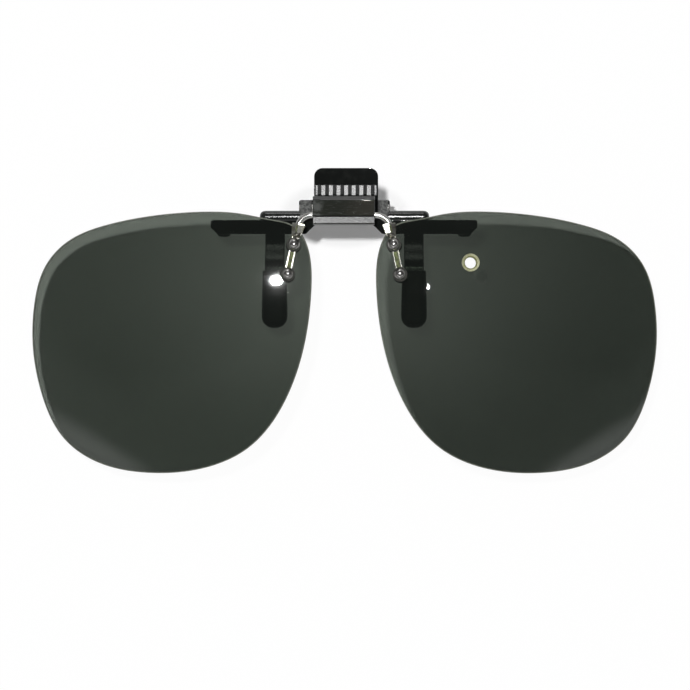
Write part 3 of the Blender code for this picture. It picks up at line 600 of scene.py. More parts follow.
# Lenses
lens = {
    "bridge": 13.6 * mm,
    "width": 59.6 * mm,
    "height": 55.1 * mm,
    "thick": 1.3 * mm,
    "curve": 120 * mm,
    "wrap": math.radians(8.7),
    "tilt": math.radians(3),
    "rise": 0.78 * mm,  # top edge above the wire
    "armGap": 0.7 * mm,
    "bevel": 0.24 * mm,
    "bevelRound": (0.25, 0.35),  # shares of the bevel, in and back, at the middle of its rounding
    "corner": (0.058, 0.057),
    # shares of width from the nose and of height from the top, clockwise on the right lens
    "shape": (
        (0.396, 0.000), (0.584, 0.017), (0.737, 0.050), (0.865, 0.106), (0.952, 0.204), (0.993, 0.354),
        (0.999, 0.505), (0.970, 0.688), (0.886, 0.872), (0.754, 0.966), (0.584, 1.000), (0.396, 0.984),
        (0.225, 0.903), (0.092, 0.719), (0.024, 0.505), (0.000, 0.296), (0.009, 0.151), (0.029, 0.095),
        (0.058, 0.057), (0.140, 0.030), (0.259, 0.006),
    ),
    "steps": 10,
    "rings": 22,
    "sharp": 20,
    "tagHole": 2.4 * mm,
    "tagIn": 19.8 * mm,
    "tagDrop": 9.95 * mm,
    "tagLedge": 0.25 * mm,
    "tagSink": 0.45 * mm,
    "tagFoot": (0.7, 0.68),  # shares of the sink where the ledge and the cone begin
}
lensTop = axle.z + lens["rise"]
lensMid = Vector((lens["bridge"] / 2 + lens["width"] / 2, lensTop - lens["height"] / 2))
apexX = lensMid.x - lens["curve"] * math.sin(lens["wrap"])
apexZ = lensMid.y + lens["curve"] * math.sin(lens["tilt"])
backCurve = lens["curve"] - lens["thick"]


def lensSag(x, z, radius=lens["curve"]):
    return lens["curve"] - math.sqrt(radius**2 - (x - apexX) ** 2 - (z - apexZ) ** 2)


cornerX = lens["bridge"] / 2 + lens["width"] * lens["corner"][0]
cornerZ = lensTop - lens["height"] * lens["corner"][1]
nearest = max(lensSag(cornerX, cornerZ, backCurve), lensSag(arms["reach"], arms["height"] / 2, backCurve))
apexY = armFront - lens["armGap"] - nearest
lensCentre = Vector((apexX, apexY + lens["curve"], apexZ))


def onLens(inward, drop):
    x = lens["bridge"] / 2 + inward
    z = axle.z - drop
    return Vector((x, apexY + lensSag(x, z), z))


def lensOutline():
    # closed cubic curve through the shape's points
    points = np.array((lens["bridge"] / 2, lensTop))
    points = points + np.array(lens["shape"]) * (lens["width"], -lens["height"])
    nexts = np.roll(points, -1, axis=0)
    span = np.linalg.norm(nexts - points, axis=1)
    before = np.roll(span, 1)
    count = len(points)
    row = np.arange(count)
    system = np.zeros((count, count))
    system[row, row] = 2 / before + 2 / span
    system[row, row - 1] = 1 / before
    system[row, (row + 1) % count] = 1 / span
    chord = (nexts - points) / span[:, None] ** 2
    slopes = np.linalg.solve(system, 3 * (chord + np.roll(chord, 1, axis=0)))
    outline = []
    for index in range(count):
        for step in range(lens["steps"]):
            t = step / lens["steps"]
            point = points[index] * (2 * t**3 - 3 * t**2 + 1) + nexts[index] * (3 * t**2 - 2 * t**3)
            point = point + slopes[index] * span[index] * (t**3 - 2 * t**2 + t)
            point = point + slopes[(index + 1) % count] * span[index] * (t**3 - t**2)
            outline.append(Vector(point))
    return outline


# Bracket frame: across, up the strap, out of the lens
rivet = {
    "upperIn": 3.72 * mm,
    "upperDrop": 6.27 * mm,
    "lowerIn": 5.02 * mm,
    "lowerDrop": 12.52 * mm,
    "shank": 1.1 * mm,
    "head": 2.5 * mm,
    "headRise": 0.42 * mm,
    "headSteps": 18,
    "tail": 1.9 * mm,
    "tailHeight": 0.5 * mm,
    "tailRound": 0.28 * mm,
    "tailEdge": 0.05 * mm,
    "gap": 0.15 * mm,
    "fit": 0.15 * mm,
}
rivetUpper = onLens(rivet["upperIn"], rivet["upperDrop"])
rivetLower = onLens(rivet["lowerIn"], rivet["lowerDrop"])
rivetHalf = (rivetUpper - rivetLower).length / 2
bracketMid = (rivetUpper + rivetLower) / 2
strapUp = (rivetUpper - rivetLower).normalized()
lensOut = (bracketMid - lensCentre).normalized()
bracketTurn = Matrix((strapUp.cross(lensOut), strapUp, lensOut)).transposed().to_4x4()
bracketFrame = Matrix.Translation(bracketMid) @ bracketTurn

bush = {"wall": 0.4 * mm, "flange": 3.2 * mm, "flangeHeight": 0.4 * mm, "edge": 0.1 * mm}
washer = {"width": 3.0 * mm, "height": 0.35 * mm, "edge": 0.1 * mm}


def buildLens(word, side):
    thick = lens["thick"]
    bevel = lens["bevel"]
    half = lens["height"] / 2
    roundIn, roundBack = lens["bevelRound"]
    inset = 1 - bevel / half
    eased = 1 - bevel * roundIn / half
    # rows from the middle of the front, over the edge, to the middle of the back: scale, depth, curve
    curve = lens["curve"]
    shares = [ring / lens["rings"] for ring in range(1, lens["rings"])]
    rim = [(inset, 0, curve), (eased, bevel * roundBack, curve), (1, bevel, curve)]
    rim += [(1, thick - bevel, curve), (eased, thick - bevel * roundBack, curve), (inset, 0, backCurve)]
    stations = [(share, 0, curve) for share in shares] + rim
    stations += [(share, 0, backCurve) for share in reversed(shares)]
    outline = lensOutline()

    def point(flat, depth, radius):
        return (flat.x, apexY + lensSag(flat.x, flat.y, radius) + depth, flat.y)

    rows = [[point(lensMid, 0, curve)]]
    for scale, depth, radius in stations:
        rows.append([point(lensMid + (p - lensMid) * scale, depth, radius) for p in outline])
    bm = loft(rows + [[point(lensMid, 0, backCurve)]])
    firstRim = 1 + len(shares)
    for index, face in enumerate(bm.faces):
        row = index // len(outline)
        face.material_index = 1 if firstRim <= row < firstRim + len(rim) - 1 else 0
    solid = newSolid("lens" + word, toSide(bm, side), "lensTint", "lensEdge", "lensBore", "lensSink")

    past = 3 * thick
    hole = rivet["shank"] / 2 + bush["wall"] + 2 * rivet["fit"]
    cut = [(0, -past), (hole, -past), (hole, thick), (0, thick)]
    for up in (-rivetHalf, rivetHalf):
        place = bracketFrame @ Matrix.Translation((0, up, 0))
        carve(solid, toSide(lathe(cut, place), side), "lensEdge")
    if side > 0:
        centre = onLens(lens["tagIn"], lens["tagDrop"])
        turn = (centre - lensCentre).to_track_quat("Z", "Y").to_matrix().to_4x4()
        place = Matrix.Translation(centre) @ turn
        inner = lens["tagHole"] / 2
        ledge = inner + lens["tagLedge"]
        sink = lens["tagSink"]
        foot, coneFoot = (share * sink for share in lens["tagFoot"])
        cut = [(0, -past), (inner, -past), (inner, -sink), (ledge, -foot), (ledge, sink), (0, sink)]
        carve(solid, lathe(cut, place), "lensBore")
        cut = [(0, -coneFoot), (ledge + sink - coneFoot, -coneFoot), (ledge + 2 * sink, sink), (0, sink)]
        carve(solid, lathe(cut, place), "lensSink")
    return finishSolid(solid, "flip_lenses", "lens_" + word.lower(), lens["sharp"])


for word, side in sides.items():
    buildLens(word, side)
print("lenses built")


# Brackets and rivets
bracket = {
    "thick": 0.7 * mm,
    "width": 1.5 * mm,
    "eye": 3.1 * mm,
    "eyeEdge": 0.1 * mm,
    "bar": 0.62 * mm,  # thickness at mid length
    "barTilt": math.radians(1.0),  # thicker towards the socket
    "railSlant": 0.008 * mm,
    "railEdge": 0.06 * mm,
    "groove": 0.74 * mm,
    "grooveDepth": 0.3 * mm,
    "root": 0.9 * mm,  # upper rivet to the tulip's start, its neck and the socket
    "neck": 1.5 * mm,
    "rise": 1.95 * mm,
    "length": 2.5 * mm,
    "belly": 0.55 * mm,
    "lip": 0.3 * mm,
    "lipEdge": 0.2 * mm,
    "wide": 2.6 * mm,
    "deep": 2.2 * mm,
    "offset": 0.1 * mm,
    "corner": 0.42 * mm,
    "floor": 0.6 * mm,
    "facet": math.radians(5),  # fall of the socket's face on the nose side, then on the outer side
    "outerFacet": math.radians(20),
    "flare": 0.1 * mm,  # the face stands out further at its top
    "seam": (0.05 * mm, 0.3 * mm, 0.22 * mm),  # left, right and depth of the closed seam
    "seamMargin": 0.5 * mm,
    "sharp": 12,
}
wireRadius = 0.6 * mm
socketX = -bracket["offset"]
socketLow = rivetHalf + bracket["rise"]
socketTop = socketLow + bracket["length"]
socketMouth = bracketFrame @ Vector((socketX, socketTop, bracket["deep"] / 2))
socketEnd = bracketFrame @ Vector((socketX, socketLow + bracket["floor"], bracket["deep"] / 2))


def strapBar(half, low):
    # channel section with two flat rails and a dull floor
    groove = bracket["groove"] / 2
    high = low + bracket["bar"]
    inner = high - bracket["railSlant"]
    floor = high - bracket["grooveDepth"]
    soft = bracket["railEdge"]
    section = rounded([
        (-half, low, 0), (half, low, 0), (half, high, soft), (groove, inner, soft),
        (groove, floor, 0), (-groove, floor, 0), (-groove, inner, soft), (-half, high, soft),
    ])
    bm = prism(section, -rivetHalf, socketLow, frontView)
    for face in bm.faces:
        middle = face.calc_center_median()
        inside = abs(middle.x) < groove * 0.98 and abs(middle.z - floor) < soft
        face.material_index = 2 if inside else 0
    for vert in bm.verts:
        if vert.co.z > low + soft:
            vert.co.z += vert.co.y * math.tan(bracket["barTilt"])
    bmesh.ops.transform(bm, matrix=bracketFrame, verts=bm.verts)
    return bm


def socketSection(middle, across, back, front):
    # eight corners round the socket: four behind, then the outer facet and the nose facet
    cut = min(bracket["corner"], 0.3 * (front - back))
    edge = cut / 3
    dip = (across - edge) * math.tan(bracket["facet"])
    fall = dip + across * math.tan(bracket["outerFacet"])
    corners = [(-across, back + cut), (-across + cut, back), (across - cut, back), (across, back + cut)]
    corners += [(across, front - fall), (0, front - dip), (edge - across, front), (-across, front - edge)]
    return [(middle + x, z) for x, z in corners]


def buildBracket(word, side):
    half = bracket["width"] / 2
    low = rivet["gap"]
    high = low + bracket["thick"]
    bar = toSide(strapBar(half, low), side)
    solid = newSolid("bracket" + word, bar, "bracketChrome", "paintedEyeShade", "groove")
    for up in (-rivetHalf, rivetHalf):
        eye = prism(circle(bracket["eye"] / 2, 0, up), low, high, bracketFrame)
        # the eye disc takes the painted shade that falls under its ball
        join(solid, toSide(soften(eye, bracket["eyeEdge"], 2), side), "paintedEyeShade")

    # tulip that widens from the strap to the socket: height, middle, half width, back, front
    wide = bracket["wide"] / 2
    deep = bracket["deep"]
    edge = bracket["lipEdge"]
    sections = [
        (rivetHalf + bracket["root"], 0, half, low, high),
        (rivetHalf + bracket["neck"], 0, half * 1.1, low * 0.9, high * 1.2),
        (socketLow + bracket["belly"], socketX, wide * 0.85, 0, deep - bracket["flare"]),
        (socketTop - bracket["lip"], socketX, wide * 1.08, 0, deep),
        (socketTop, socketX, wide, edge, deep - edge),
    ]
    rows = []
    for up, *section in sections:
        rows.append([bracketFrame @ Vector((x, up, z)) for x, z in socketSection(*section)])
    join(solid, toSide(loft(rows), side))

    holes = bmesh.new()
    for up in (-rivetHalf, rivetHalf):
        shank = circle(rivet["shank"] / 2 + rivet["fit"], 0, up)
        prism(shank, -deep, deep * 2, bracketFrame, holes)
    bore = circle(wireRadius + rivet["fit"], socketX, deep / 2)
    floor = socketLow + bracket["floor"] - rivet["fit"]
    prism(bore, floor, socketTop + bracket["length"], bracketFrame @ frontView, holes)
    carve(solid, toSide(holes, side))
    left, right, sunk = bracket["seam"]
    margin = bracket["seamMargin"]
    seam = rectangle(left, right, socketLow + margin, socketTop - margin)
    slot = prism(seam, deep - bracket["flare"] - sunk, deep + sunk, bracketFrame)
    carve(solid, toSide(slot, side), "groove")
    return finishSolid(solid, "flip_lenses", "bracket_" + word.lower(), bracket["sharp"])


def buildRivet(word, level, side):
    # rivet, with the bush that lines the lens and the washer behind it
    up = rivetHalf if level == "Upper" else -rivetHalf
    spot = bracketFrame @ Matrix.Translation((0, up, 0))

    def turned(kind, profile, loop, look, slot):
        solid = newSolid(kind + word + level, toSide(lathe(profile, spot, loop), side), look)
        finishSolid(solid, "flip_lenses", f"{kind}_{word}_{level}".lower())

    shank = rivet["shank"] / 2
    gap = rivet["gap"]
    head = gap + bracket["thick"] + gap
    flangeFront = -lens["thick"] - gap
    flangeBack = flangeFront - bush["flangeHeight"]
    washerFront = flangeBack - gap
    washerBack = washerFront - washer["height"]
    tail = washerBack - gap
    tailEnd = tail - rivet["tailHeight"]
    tailRadius = rivet["tail"] / 2
    profile = easedProfile([
        (0, tailEnd, 0),
        (tailRadius, tailEnd, rivet["tailRound"]),
        (tailRadius, tail, rivet["tailEdge"]),
        (shank, tail, 0),
        (shank, head, 0),
    ])
    ball = rivet["head"] / 2
    middle = head + rivet["headRise"]
    first = -math.asin(rivet["headRise"] / ball)
    for step in range(rivet["headSteps"]):
        turn = between(first, math.pi / 2, step / rivet["headSteps"])
        profile.append((ball * math.cos(turn), middle + ball * math.sin(turn)))
    turned("rivet", profile + [(0, middle + ball)], False, "ballChrome", "chrome")

    bore = shank + rivet["fit"]
    barrel = bore + bush["wall"]
    flange = bush["flange"] / 2
    soft = bush["edge"]
    profile = [(bore, flangeBack, soft), (flange, flangeBack, soft), (flange, flangeFront, soft)]
    profile += [(barrel, flangeFront, 0), (barrel, -gap, soft), (bore, -gap, soft)]
    turned("bush", easedProfile(profile, True), True, "cloudyNylon", "clear_nylon")

    ring = rectangle(bore, washer["width"] / 2, washerBack, washerFront)
    profile = [(radius, height, washer["edge"]) for radius, height in ring]
    turned("washer", easedProfile(profile, True), True, "springSteel", "steel")


for word, side in sides.items():
    buildBracket(word, side)
    for level in ("Upper", "Lower"):
        buildRivet(word, level, side)

# Wire
wire = {"leave": 6.5 * mm, "pull": 1.6 * mm, "steps": 22, "sides": 28, "cap": 0.1 * mm}


def wirePath():
    leave = Vector((wire["leave"], axle.y, axle.z))
    pullOut = leave + Vector((wire["pull"], 0, 0))
    pullDown = socketMouth + strapUp * wire["pull"] / 2
    right = []
    for step in range(wire["steps"]):
        t = step / (wire["steps"] - 1)
        u = 1 - t
        right.append(u**3 * leave + 3 * u**2 * t * pullOut + 3 * u * t**2 * pullDown + t**3 * socketMouth)
    right.append(socketEnd)
    return [Vector((-p.x, p.y, p.z)) for p in reversed(right)] + right


solid = newSolid("flipWire", tube(wirePath(), wireRadius, wire["sides"], wire["cap"]), "wireChrome")
finishSolid(solid, "flip_lenses", "flip_axle")
print("brackets, rivets and wire built")


# Front jaw
tab = {
    "width": 13.5 * mm,
    "rise": 10.05 * mm,
    "offset": 0.45 * mm,  # to the right of the block
    "corner": 1.8 * mm,
    "rampHeight": 2.25 * mm,
    "rampDepth": 1.6 * mm,
    "rampInset": 0.3 * mm,
    "rampEdge": 0.08 * mm,
    "ribs": 8,
    "ribSpacing": 1.6 * mm,
    "ribWidth": 0.8 * mm,
    "ribRise": 0.25 * mm,
    "ribMargin": 0.02,
    "ribEdge": 0.09 * mm,
}
cheek = {"notch": 12.4 * mm, "spread": 1.9 * mm, "width": 0.6 * mm, "rise": 1.1 * mm}
lug = {
    "inset": 0.25 * mm,  # from the tab's sides
    "width": 1.8 * mm,
    "radius": 1.6 * mm,
    "edge": 0.12 * mm,
    "pegRadius": 0.6 * mm,
    "pegLength": 1.6 * mm,
    "pegs": 9.2 * mm,
}
block = {
    "width": 13.0 * mm,
    "chamfer": 1.75 * mm,
    "lip": 0.3 * mm,  # upright below the chamfer
    "brow": 0.8 * mm,
    # roundings from the top down
    "crown": 0.32 * mm,
    "forehead": 0.22 * mm,
    "crease": 1.0 * mm,
    "foot": 0.15 * mm,
}
jawPin = {"radius": 0.75 * mm, "bore": 0.9 * mm, "edge": 0.2 * mm}
blockLow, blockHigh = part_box("hinge_block")
blockFront = blockLow.y
blockBack = blockHigh.y
coverLow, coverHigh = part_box("axle_cover")
rebateTop = coverHigh.z + seatGap
pegZ = (rebateTop + blockHigh.z) / 2
tabHalf = tab["width"] / 2
tabLeft = tab["offset"] - tabHalf
tabRight = tab["offset"] + tabHalf
tabTop = axle.z + tab["rise"]
lugOut = tabHalf - lug["inset"]
pinBore = circle(jawPin["bore"], pin.y, pin.z)


def jawOutline():
    inner = cheek["notch"] / 2 + cheek["spread"]
    outer = inner + cheek["width"]
    low = -arms["height"] / 2
    high = arms["height"] / 2
    shoulder = high + cheek["rise"]
    soft = arms["corner"]
    right = [
        (cheek["notch"] / 2, blockLow.z, soft),
        (inner, low, soft),
        (arms["reach"] - arms["tipCut"], low, soft),
        (arms["reach"], low + arms["tipCut"], soft),
        (arms["reach"], high, soft),
        (outer + cheek["rise"], high, soft),
        (outer, shoulder, soft),
    ]
    thumb = [
        (tabRight, shoulder, soft),
        (tabRight, tabTop, tab["corner"]),
        (tabLeft, tabTop, tab["corner"]),
        (tabLeft, shoulder, soft),
    ]
    both = mirrored(right)
    return rounded(both[: len(right)] + thumb + both[len(right) :])


def buildFrontJaw():
    plate = prism(jawOutline(), armFront, armBack, frontView)
    solid = newSolid("frontJaw", soften(plate, arms["edge"]), "glossBlack", "softRubber", "etchedBlack")

    # slope at the foot of the tab, with its ribs
    bottom = blockHigh.z + seatGap
    low = Vector((armFront - tab["rampDepth"], bottom))
    high = Vector((armFront, bottom + tab["rampHeight"]))
    ramp = [(armFront + overlap, bottom), low, high, (armFront + overlap, high.y)]
    body = prism(ramp, tabLeft + tab["rampInset"], tabRight - tab["rampInset"], sideView)
    join(solid, soften(body, tab["rampEdge"], 2, 40), "etchedBlack")
    slope = high - low
    out = Vector((-slope.y, slope.x)).normalized() * tab["ribRise"]
    start = low + slope * tab["ribMargin"]
    end = high - slope * tab["ribMargin"]
    rib = [start + out, end + out, end - out, start - out]
    half = tab["ribWidth"] / 2
    for index in range(tab["ribs"]):
        middle = tab["offset"] + (index - (tab["ribs"] - 1) / 2) * tab["ribSpacing"]
        bm = soften(prism(rib, middle - half, middle + half, sideView), tab["ribEdge"], 2)
        join(solid, bm, "softRubber")

    # lugs for the pin, pegs for the block, holes for the pin and the pads' studs
    ear = lug["radius"]
    quarter = roundSteps // 4
    ring = circle(ear, pin.y, pin.z)
    profile = [(armBack - overlap, pin.z - ear), (pin.y, pin.z - ear)]
    profile += ring[-quarter + 1 :] + ring[:quarter]
    profile += [(pin.y, pin.z + ear), (armBack - overlap, pin.z + ear)]
    cuts = prism(pinBore, -tabHalf, tabHalf, sideView)
    for side in sides.values():
        near, far = sorted((side * (lugOut - lug["width"]), side * lugOut))
        join(solid, soften(prism(profile, near, far, sideView), lug["edge"], 2, 60))
        peg = circle(lug["pegRadius"], side * lug["pegs"] / 2, pegZ)
        join(solid, prism(peg, blockBack - lug["pegLength"], armFront + overlap, frontView))
        stud = circle(arms["studHole"], side * padX)
        prism(stud, armBack - arms["studDepth"], armBack + overlap, frontView, cuts)
    carve(solid, cuts)
    return finishSolid(solid, "clip_front", "front_jaw")


# Block that carries the wire, with its closed channel
def buildBlock():
    half = block["width"] / 2
    profile = rounded([
        (blockBack, blockLow.z, 0),
        (blockBack, blockHigh.z, 0),
        (blockFront + block["brow"], blockHigh.z, block["crown"]),
        (blockFront, blockHigh.z - block["brow"], block["forehead"]),
        (blockFront, blockLow.z + block["chamfer"], block["crease"]),
        (blockFront + block["brow"], blockLow.z + block["lip"], block["foot"]),
        (blockFront + block["brow"], blockLow.z, 0),
    ])
    body = soften(prism(profile, -half, half, sideView), block["foot"])
    for face in body.faces:
        slanted = face.normal.y < -0.8 and face.normal.z < -0.4
        face.material_index = 1 if slanted else 2 if face.normal.y < -0.99 else 0
    solid = newSolid("hingeBlock", body, "wornBlack", "etchedBlack", "faceWear")
    channel = wireRadius + rivet["fit"]
    past = blockBack + overlap
    slot = [(past, axle.z + channel)]
    slot += circle(channel, axle.y, axle.z)[roundSteps // 4 : 3 * roundSteps // 4 + 1]
    slot += [(past, axle.z - channel)]
    carve(solid, prism(slot, -half - overlap, half + overlap, sideView))
    wide = coverHigh.x + seatGap
    rebate = rectangle(-wide, wide, coverLow.z - seatGap, rebateTop)
    pockets = prism(rebate, coverLow.y - seatGap, past, frontView)
    for side in sides.values():
        peg = circle(lug["pegRadius"] + rivet["fit"], side * lug["pegs"] / 2, pegZ)
        prism(peg, blockBack - lug["pegLength"] - seatGap, past, frontView, pockets)
    carve(solid, pockets)
    return finishSolid(solid, "clip_front", "hinge_block")


buildFrontJaw()
buildBlock()
for node, look in (("axle_cover", "earGrain"), ("friction_leaf", "springSteel")):
    slots = frame["nodes"][node].data.materials
    slots.clear()
    slots.append(finishes[look])
print("front jaw and block built")


# Tip pads: soft buttons with a crowned back
pad = {
    "depth": 1.2 * mm,
    "round": 0.55 * mm,
    "frontRound": 0.7,  # the front's rounding is this much shallower
    "crown": 0.16 * mm,
    "square": 0.55,  # 1 is an ellipse, less is squarer
    "steps": 6,
    "rings": 6,
    "stud": 0.6 * mm,
    "studLength": 0.5 * mm,
    "studRoot": 0.3 * mm,
    "studEdge": 0.12 * mm,
    "sharp": 50,
    "fill": 0.95,
}


def buildPad(word):
    node = "tip_pad_" + word.lower()
    low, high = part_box(node)
    middle = (low + high) / 2
    half = (high - low) / 2
    front = -pad["depth"]
    soft = pad["round"]
    # station: depth, shrink of the outline
    stations = [(front, soft)]
    turns = [math.pi / 2 * step / pad["steps"] for step in range(1, pad["steps"] + 1)]
    for turn in turns:
        back = soft * pad["frontRound"] * (1 - math.cos(turn))
        stations.append((front + back, soft * (1 - math.sin(turn))))
    for turn in turns:
        stations.append((-pad["crown"] - soft * (1 - math.sin(turn)), soft * (1 - math.cos(turn))))
    for step in range(1, pad["rings"]):
        share = step / pad["rings"]
        stations.append((-pad["crown"] * (1 - share) ** 2, between(soft, half.x, share)))
    rows = []
    for depth, shrink in stations:
        wide, tall = half.xz * (1 - shrink / half.x)
        rows.append([(middle.x + x * wide, depth, middle.z + z * tall) for x, z in squared(pad["square"])])
    solid = newSolid("tipPad" + word, loft(rows + [[(middle.x, 0, middle.z)]]), "softRubber")
    root = Matrix.Translation((middle.x, front + pad["studRoot"], 0)) @ Matrix.Rotation(math.pi / 2, 4, "X")
    length = pad["studRoot"] + pad["studLength"] + seatGap
    stud = [(0, 0, 0), (pad["stud"], 0, 0), (pad["stud"], length, pad["studEdge"]), (0, length, 0)]
    join(solid, lathe(easedProfile(stud), root))
    finishSolid(solid, "clip_front", node, pad["sharp"])
    return solid


for word in sides:
    buildPad(word)

# Jaw pin and its spring
pinLow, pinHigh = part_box("jaw_pin")
profile = [
    (0, pinLow.x, 0),
    (jawPin["radius"], pinLow.x, jawPin["edge"]),
    (jawPin["radius"], pinHigh.x, jawPin["edge"]),
    (0, pinHigh.x, 0),
]
solid = newSolid("jawPin", lathe(easedProfile(profile), alongX(pin.y, pin.z)), "springSteel")
finishSolid(solid, "clip_front", "jaw_pin")

rod = {
    "radius": 1.375 * mm,
    "edge": 1.3 * mm,
    "y": 6.425 * mm,
    "z": axle.z + 0.05 * mm,
    "reach": 18.1 * mm,
}
plate = {"thick": 1.6 * mm, "tab": 12.0 * mm, "rise": 8.85 * mm, "barDrop": 0.75 * mm, "edge": 0.25 * mm}
plateFront = rod["y"] - plate["thick"] / 2
plateBack = rod["y"] + plate["thick"] / 2
spring = {
    "wire": 0.25 * mm,
    "radius": 1.6 * mm,
    "pitch": 1.0 * mm,
    "turns": 5.5,
    "leg": 4.9 * mm,
    "steps": 32,  # round one turn
    "legSteps": 12,
    "sides": 12,
    "cap": 0.06 * mm,
    "sharp": 50,
}
coilHalf = spring["turns"] * spring["pitch"] / 2


def springPath():
    steps = round(spring["turns"] * spring["steps"])
    coil = []
    for step in range(steps + 1):
        turn = math.pi + 2 * math.pi * spring["turns"] * step / steps
        out = Vector((0, math.cos(turn), math.sin(turn))) * spring["radius"]
        coil.append(Vector((between(-coilHalf, coilHalf, step / steps), pin.y, pin.z)) + out)
    rest = seatGap + spring["wire"]
    frontFoot = Vector((-coilHalf, armBack + rest, pin.z + spring["leg"]))
    rearFoot = Vector((coilHalf, plateFront - rest, pin.z + spring["leg"]))
    up = Vector((0, 0, spring["radius"]))
    # each straight leg eases into the coil's end
    frontLeg = bend(frontFoot, coil[0] + up, coil[0], spring["legSteps"])[:-1]
    rearLeg = bend(rearFoot, coil[-1] + up, coil[-1], spring["legSteps"])[:-1]
    return frontLeg + coil + rearLeg[::-1]


coil = tube(springPath(), spring["wire"], spring["sides"], spring["cap"])
solid = newSolid("jawSpring", coil, "springSteel")
shade(solid, spring["sharp"])
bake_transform(solid)
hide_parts("jaw_spring")
print("pads, pin and spring built")


# Rear jaw
ears = {
    "inner": lugOut + 0.4 * mm,
    "outer": lugOut + 3.2 * mm,
    "half": 1.55 * mm,
    "nose": 1.5 * mm,
    "step": 0.35 * mm,
    "edge": 0.14 * mm,
}
grip = {
    "ribs": 5,
    "spacing": 1.15 * mm,
    "width": 0.55 * mm,
    "length": 8.4 * mm,
    "rise": 0.22 * mm,
    "drop": 1.6 * mm,  # first rib below the tab's top
    "edge": 0.12 * mm,
}
finger = {
    "x": 14.8 * mm,
    "width": 4.2 * mm,
    "thick": 1.4 * mm,
    "bendTop": 4.75 * mm,
    "bendHeight": 6.2 * mm,
    "steps": 14,
    "edge": 0.3 * mm,
}
sleeve = {
    "width": 5.5 * mm,
    "thick": 3.0 * mm,
    "length": 12.2 * mm,
    "end": 23.65 * mm,  # below the wire
    "floor": 1.4 * mm,
    "front": 1.3 * mm,
    "fit": 0.25 * mm,
    "firstRing": 2.0 * mm,  # above the pocket's floor
    "mouth": 0.35 * mm,
    "taper": (0.94, 0.92),  # width and thickness at the mouth
    "tip": 0.3 * mm,  # half width that the round end keeps
    "tipThin": 0.55,
    "square": 0.5,
    "sharp": 60,
}
sleeveBottom = axle.z - sleeve["end"]
sleeveTop = sleeveBottom + sleeve["length"]
sleeveMid = sleeve["front"] + sleeve["thick"] / 2


def fingerProfile():
    bendTop = axle.z - finger["bendTop"]
    line = [Vector((rod["y"], rod["z"]))]
    for step in range(finger["steps"] + 1):
        share = step / finger["steps"]
        y = between(rod["y"], sleeveMid, smooth(share))
        line.append(Vector((y, bendTop - finger["bendHeight"] * share)))
    line.append(Vector((sleeveMid, sleeveBottom + sleeve["floor"])))
    front = []
    back = []
    for index, point in enumerate(line):
        along = line[min(index + 1, len(line) - 1)] - line[max(index - 1, 0)]
        across = Vector((along.y, -along.x)).normalized() * finger["thick"] / 2
        front.append(point + across)
        back.append(point - across)
    return front + back[::-1]


def buildRearJaw():
    earTop = pin.z + ears["half"]
    shoulder = earTop + ears["step"]
    tabTop = axle.z + plate["rise"]
    soft = arms["corner"]
    right = [
        (ears["outer"], axle.z - plate["barDrop"], soft),
        (ears["outer"], shoulder, soft),
        (plate["tab"] / 2, shoulder, soft),
        (plate["tab"] / 2, tabTop, tab["corner"]),
    ]
    bm = soften(prism(rounded(mirrored(right)), plateFront, plateBack, frontView), plate["edge"])
    solid = newSolid("rearJaw", bm, "glossBlack", "earGrain", "satinBlack")
    profile = rectangle(pin.y - ears["nose"], plateFront + overlap, pin.z - ears["half"], earTop)
    for side in sides.values():
        near, far = sorted((side * ears["inner"], side * (ears["outer"] - ears["step"])))
        join(solid, soften(prism(profile, near, far, sideView), ears["edge"], 2), "earGrain")
        root = side * (ears["outer"] - overlap)
        end = side * rod["reach"]
        turned = [(0, root, 0), (rod["radius"], root, 0), (rod["radius"], end, rod["edge"]), (0, end, 0)]
        join(solid, lathe(easedProfile(turned), alongX(rod["y"], rod["z"])), "satinBlack")
        left = side * finger["x"] - finger["width"] / 2
        strip = prism(fingerProfile(), left, left + finger["width"], sideView)
        join(solid, soften(strip, finger["edge"], 3, 60), "satinBlack")
    half = grip["length"] / 2
    for index in range(grip["ribs"]):
        up = tabTop - grip["drop"] - index * grip["spacing"]
        rib = rectangle(-half, half, up - grip["width"] / 2, up + grip["width"] / 2)
        bm = soften(prism(rib, plateBack - overlap, plateBack + grip["rise"], frontView), grip["edge"])
        join(solid, bm)
    past = ears["outer"] + overlap
    carve(solid, prism(pinBore, -past, past, sideView), "earGrain")
    return finishSolid(solid, "clip_rear", "rear_jaw")


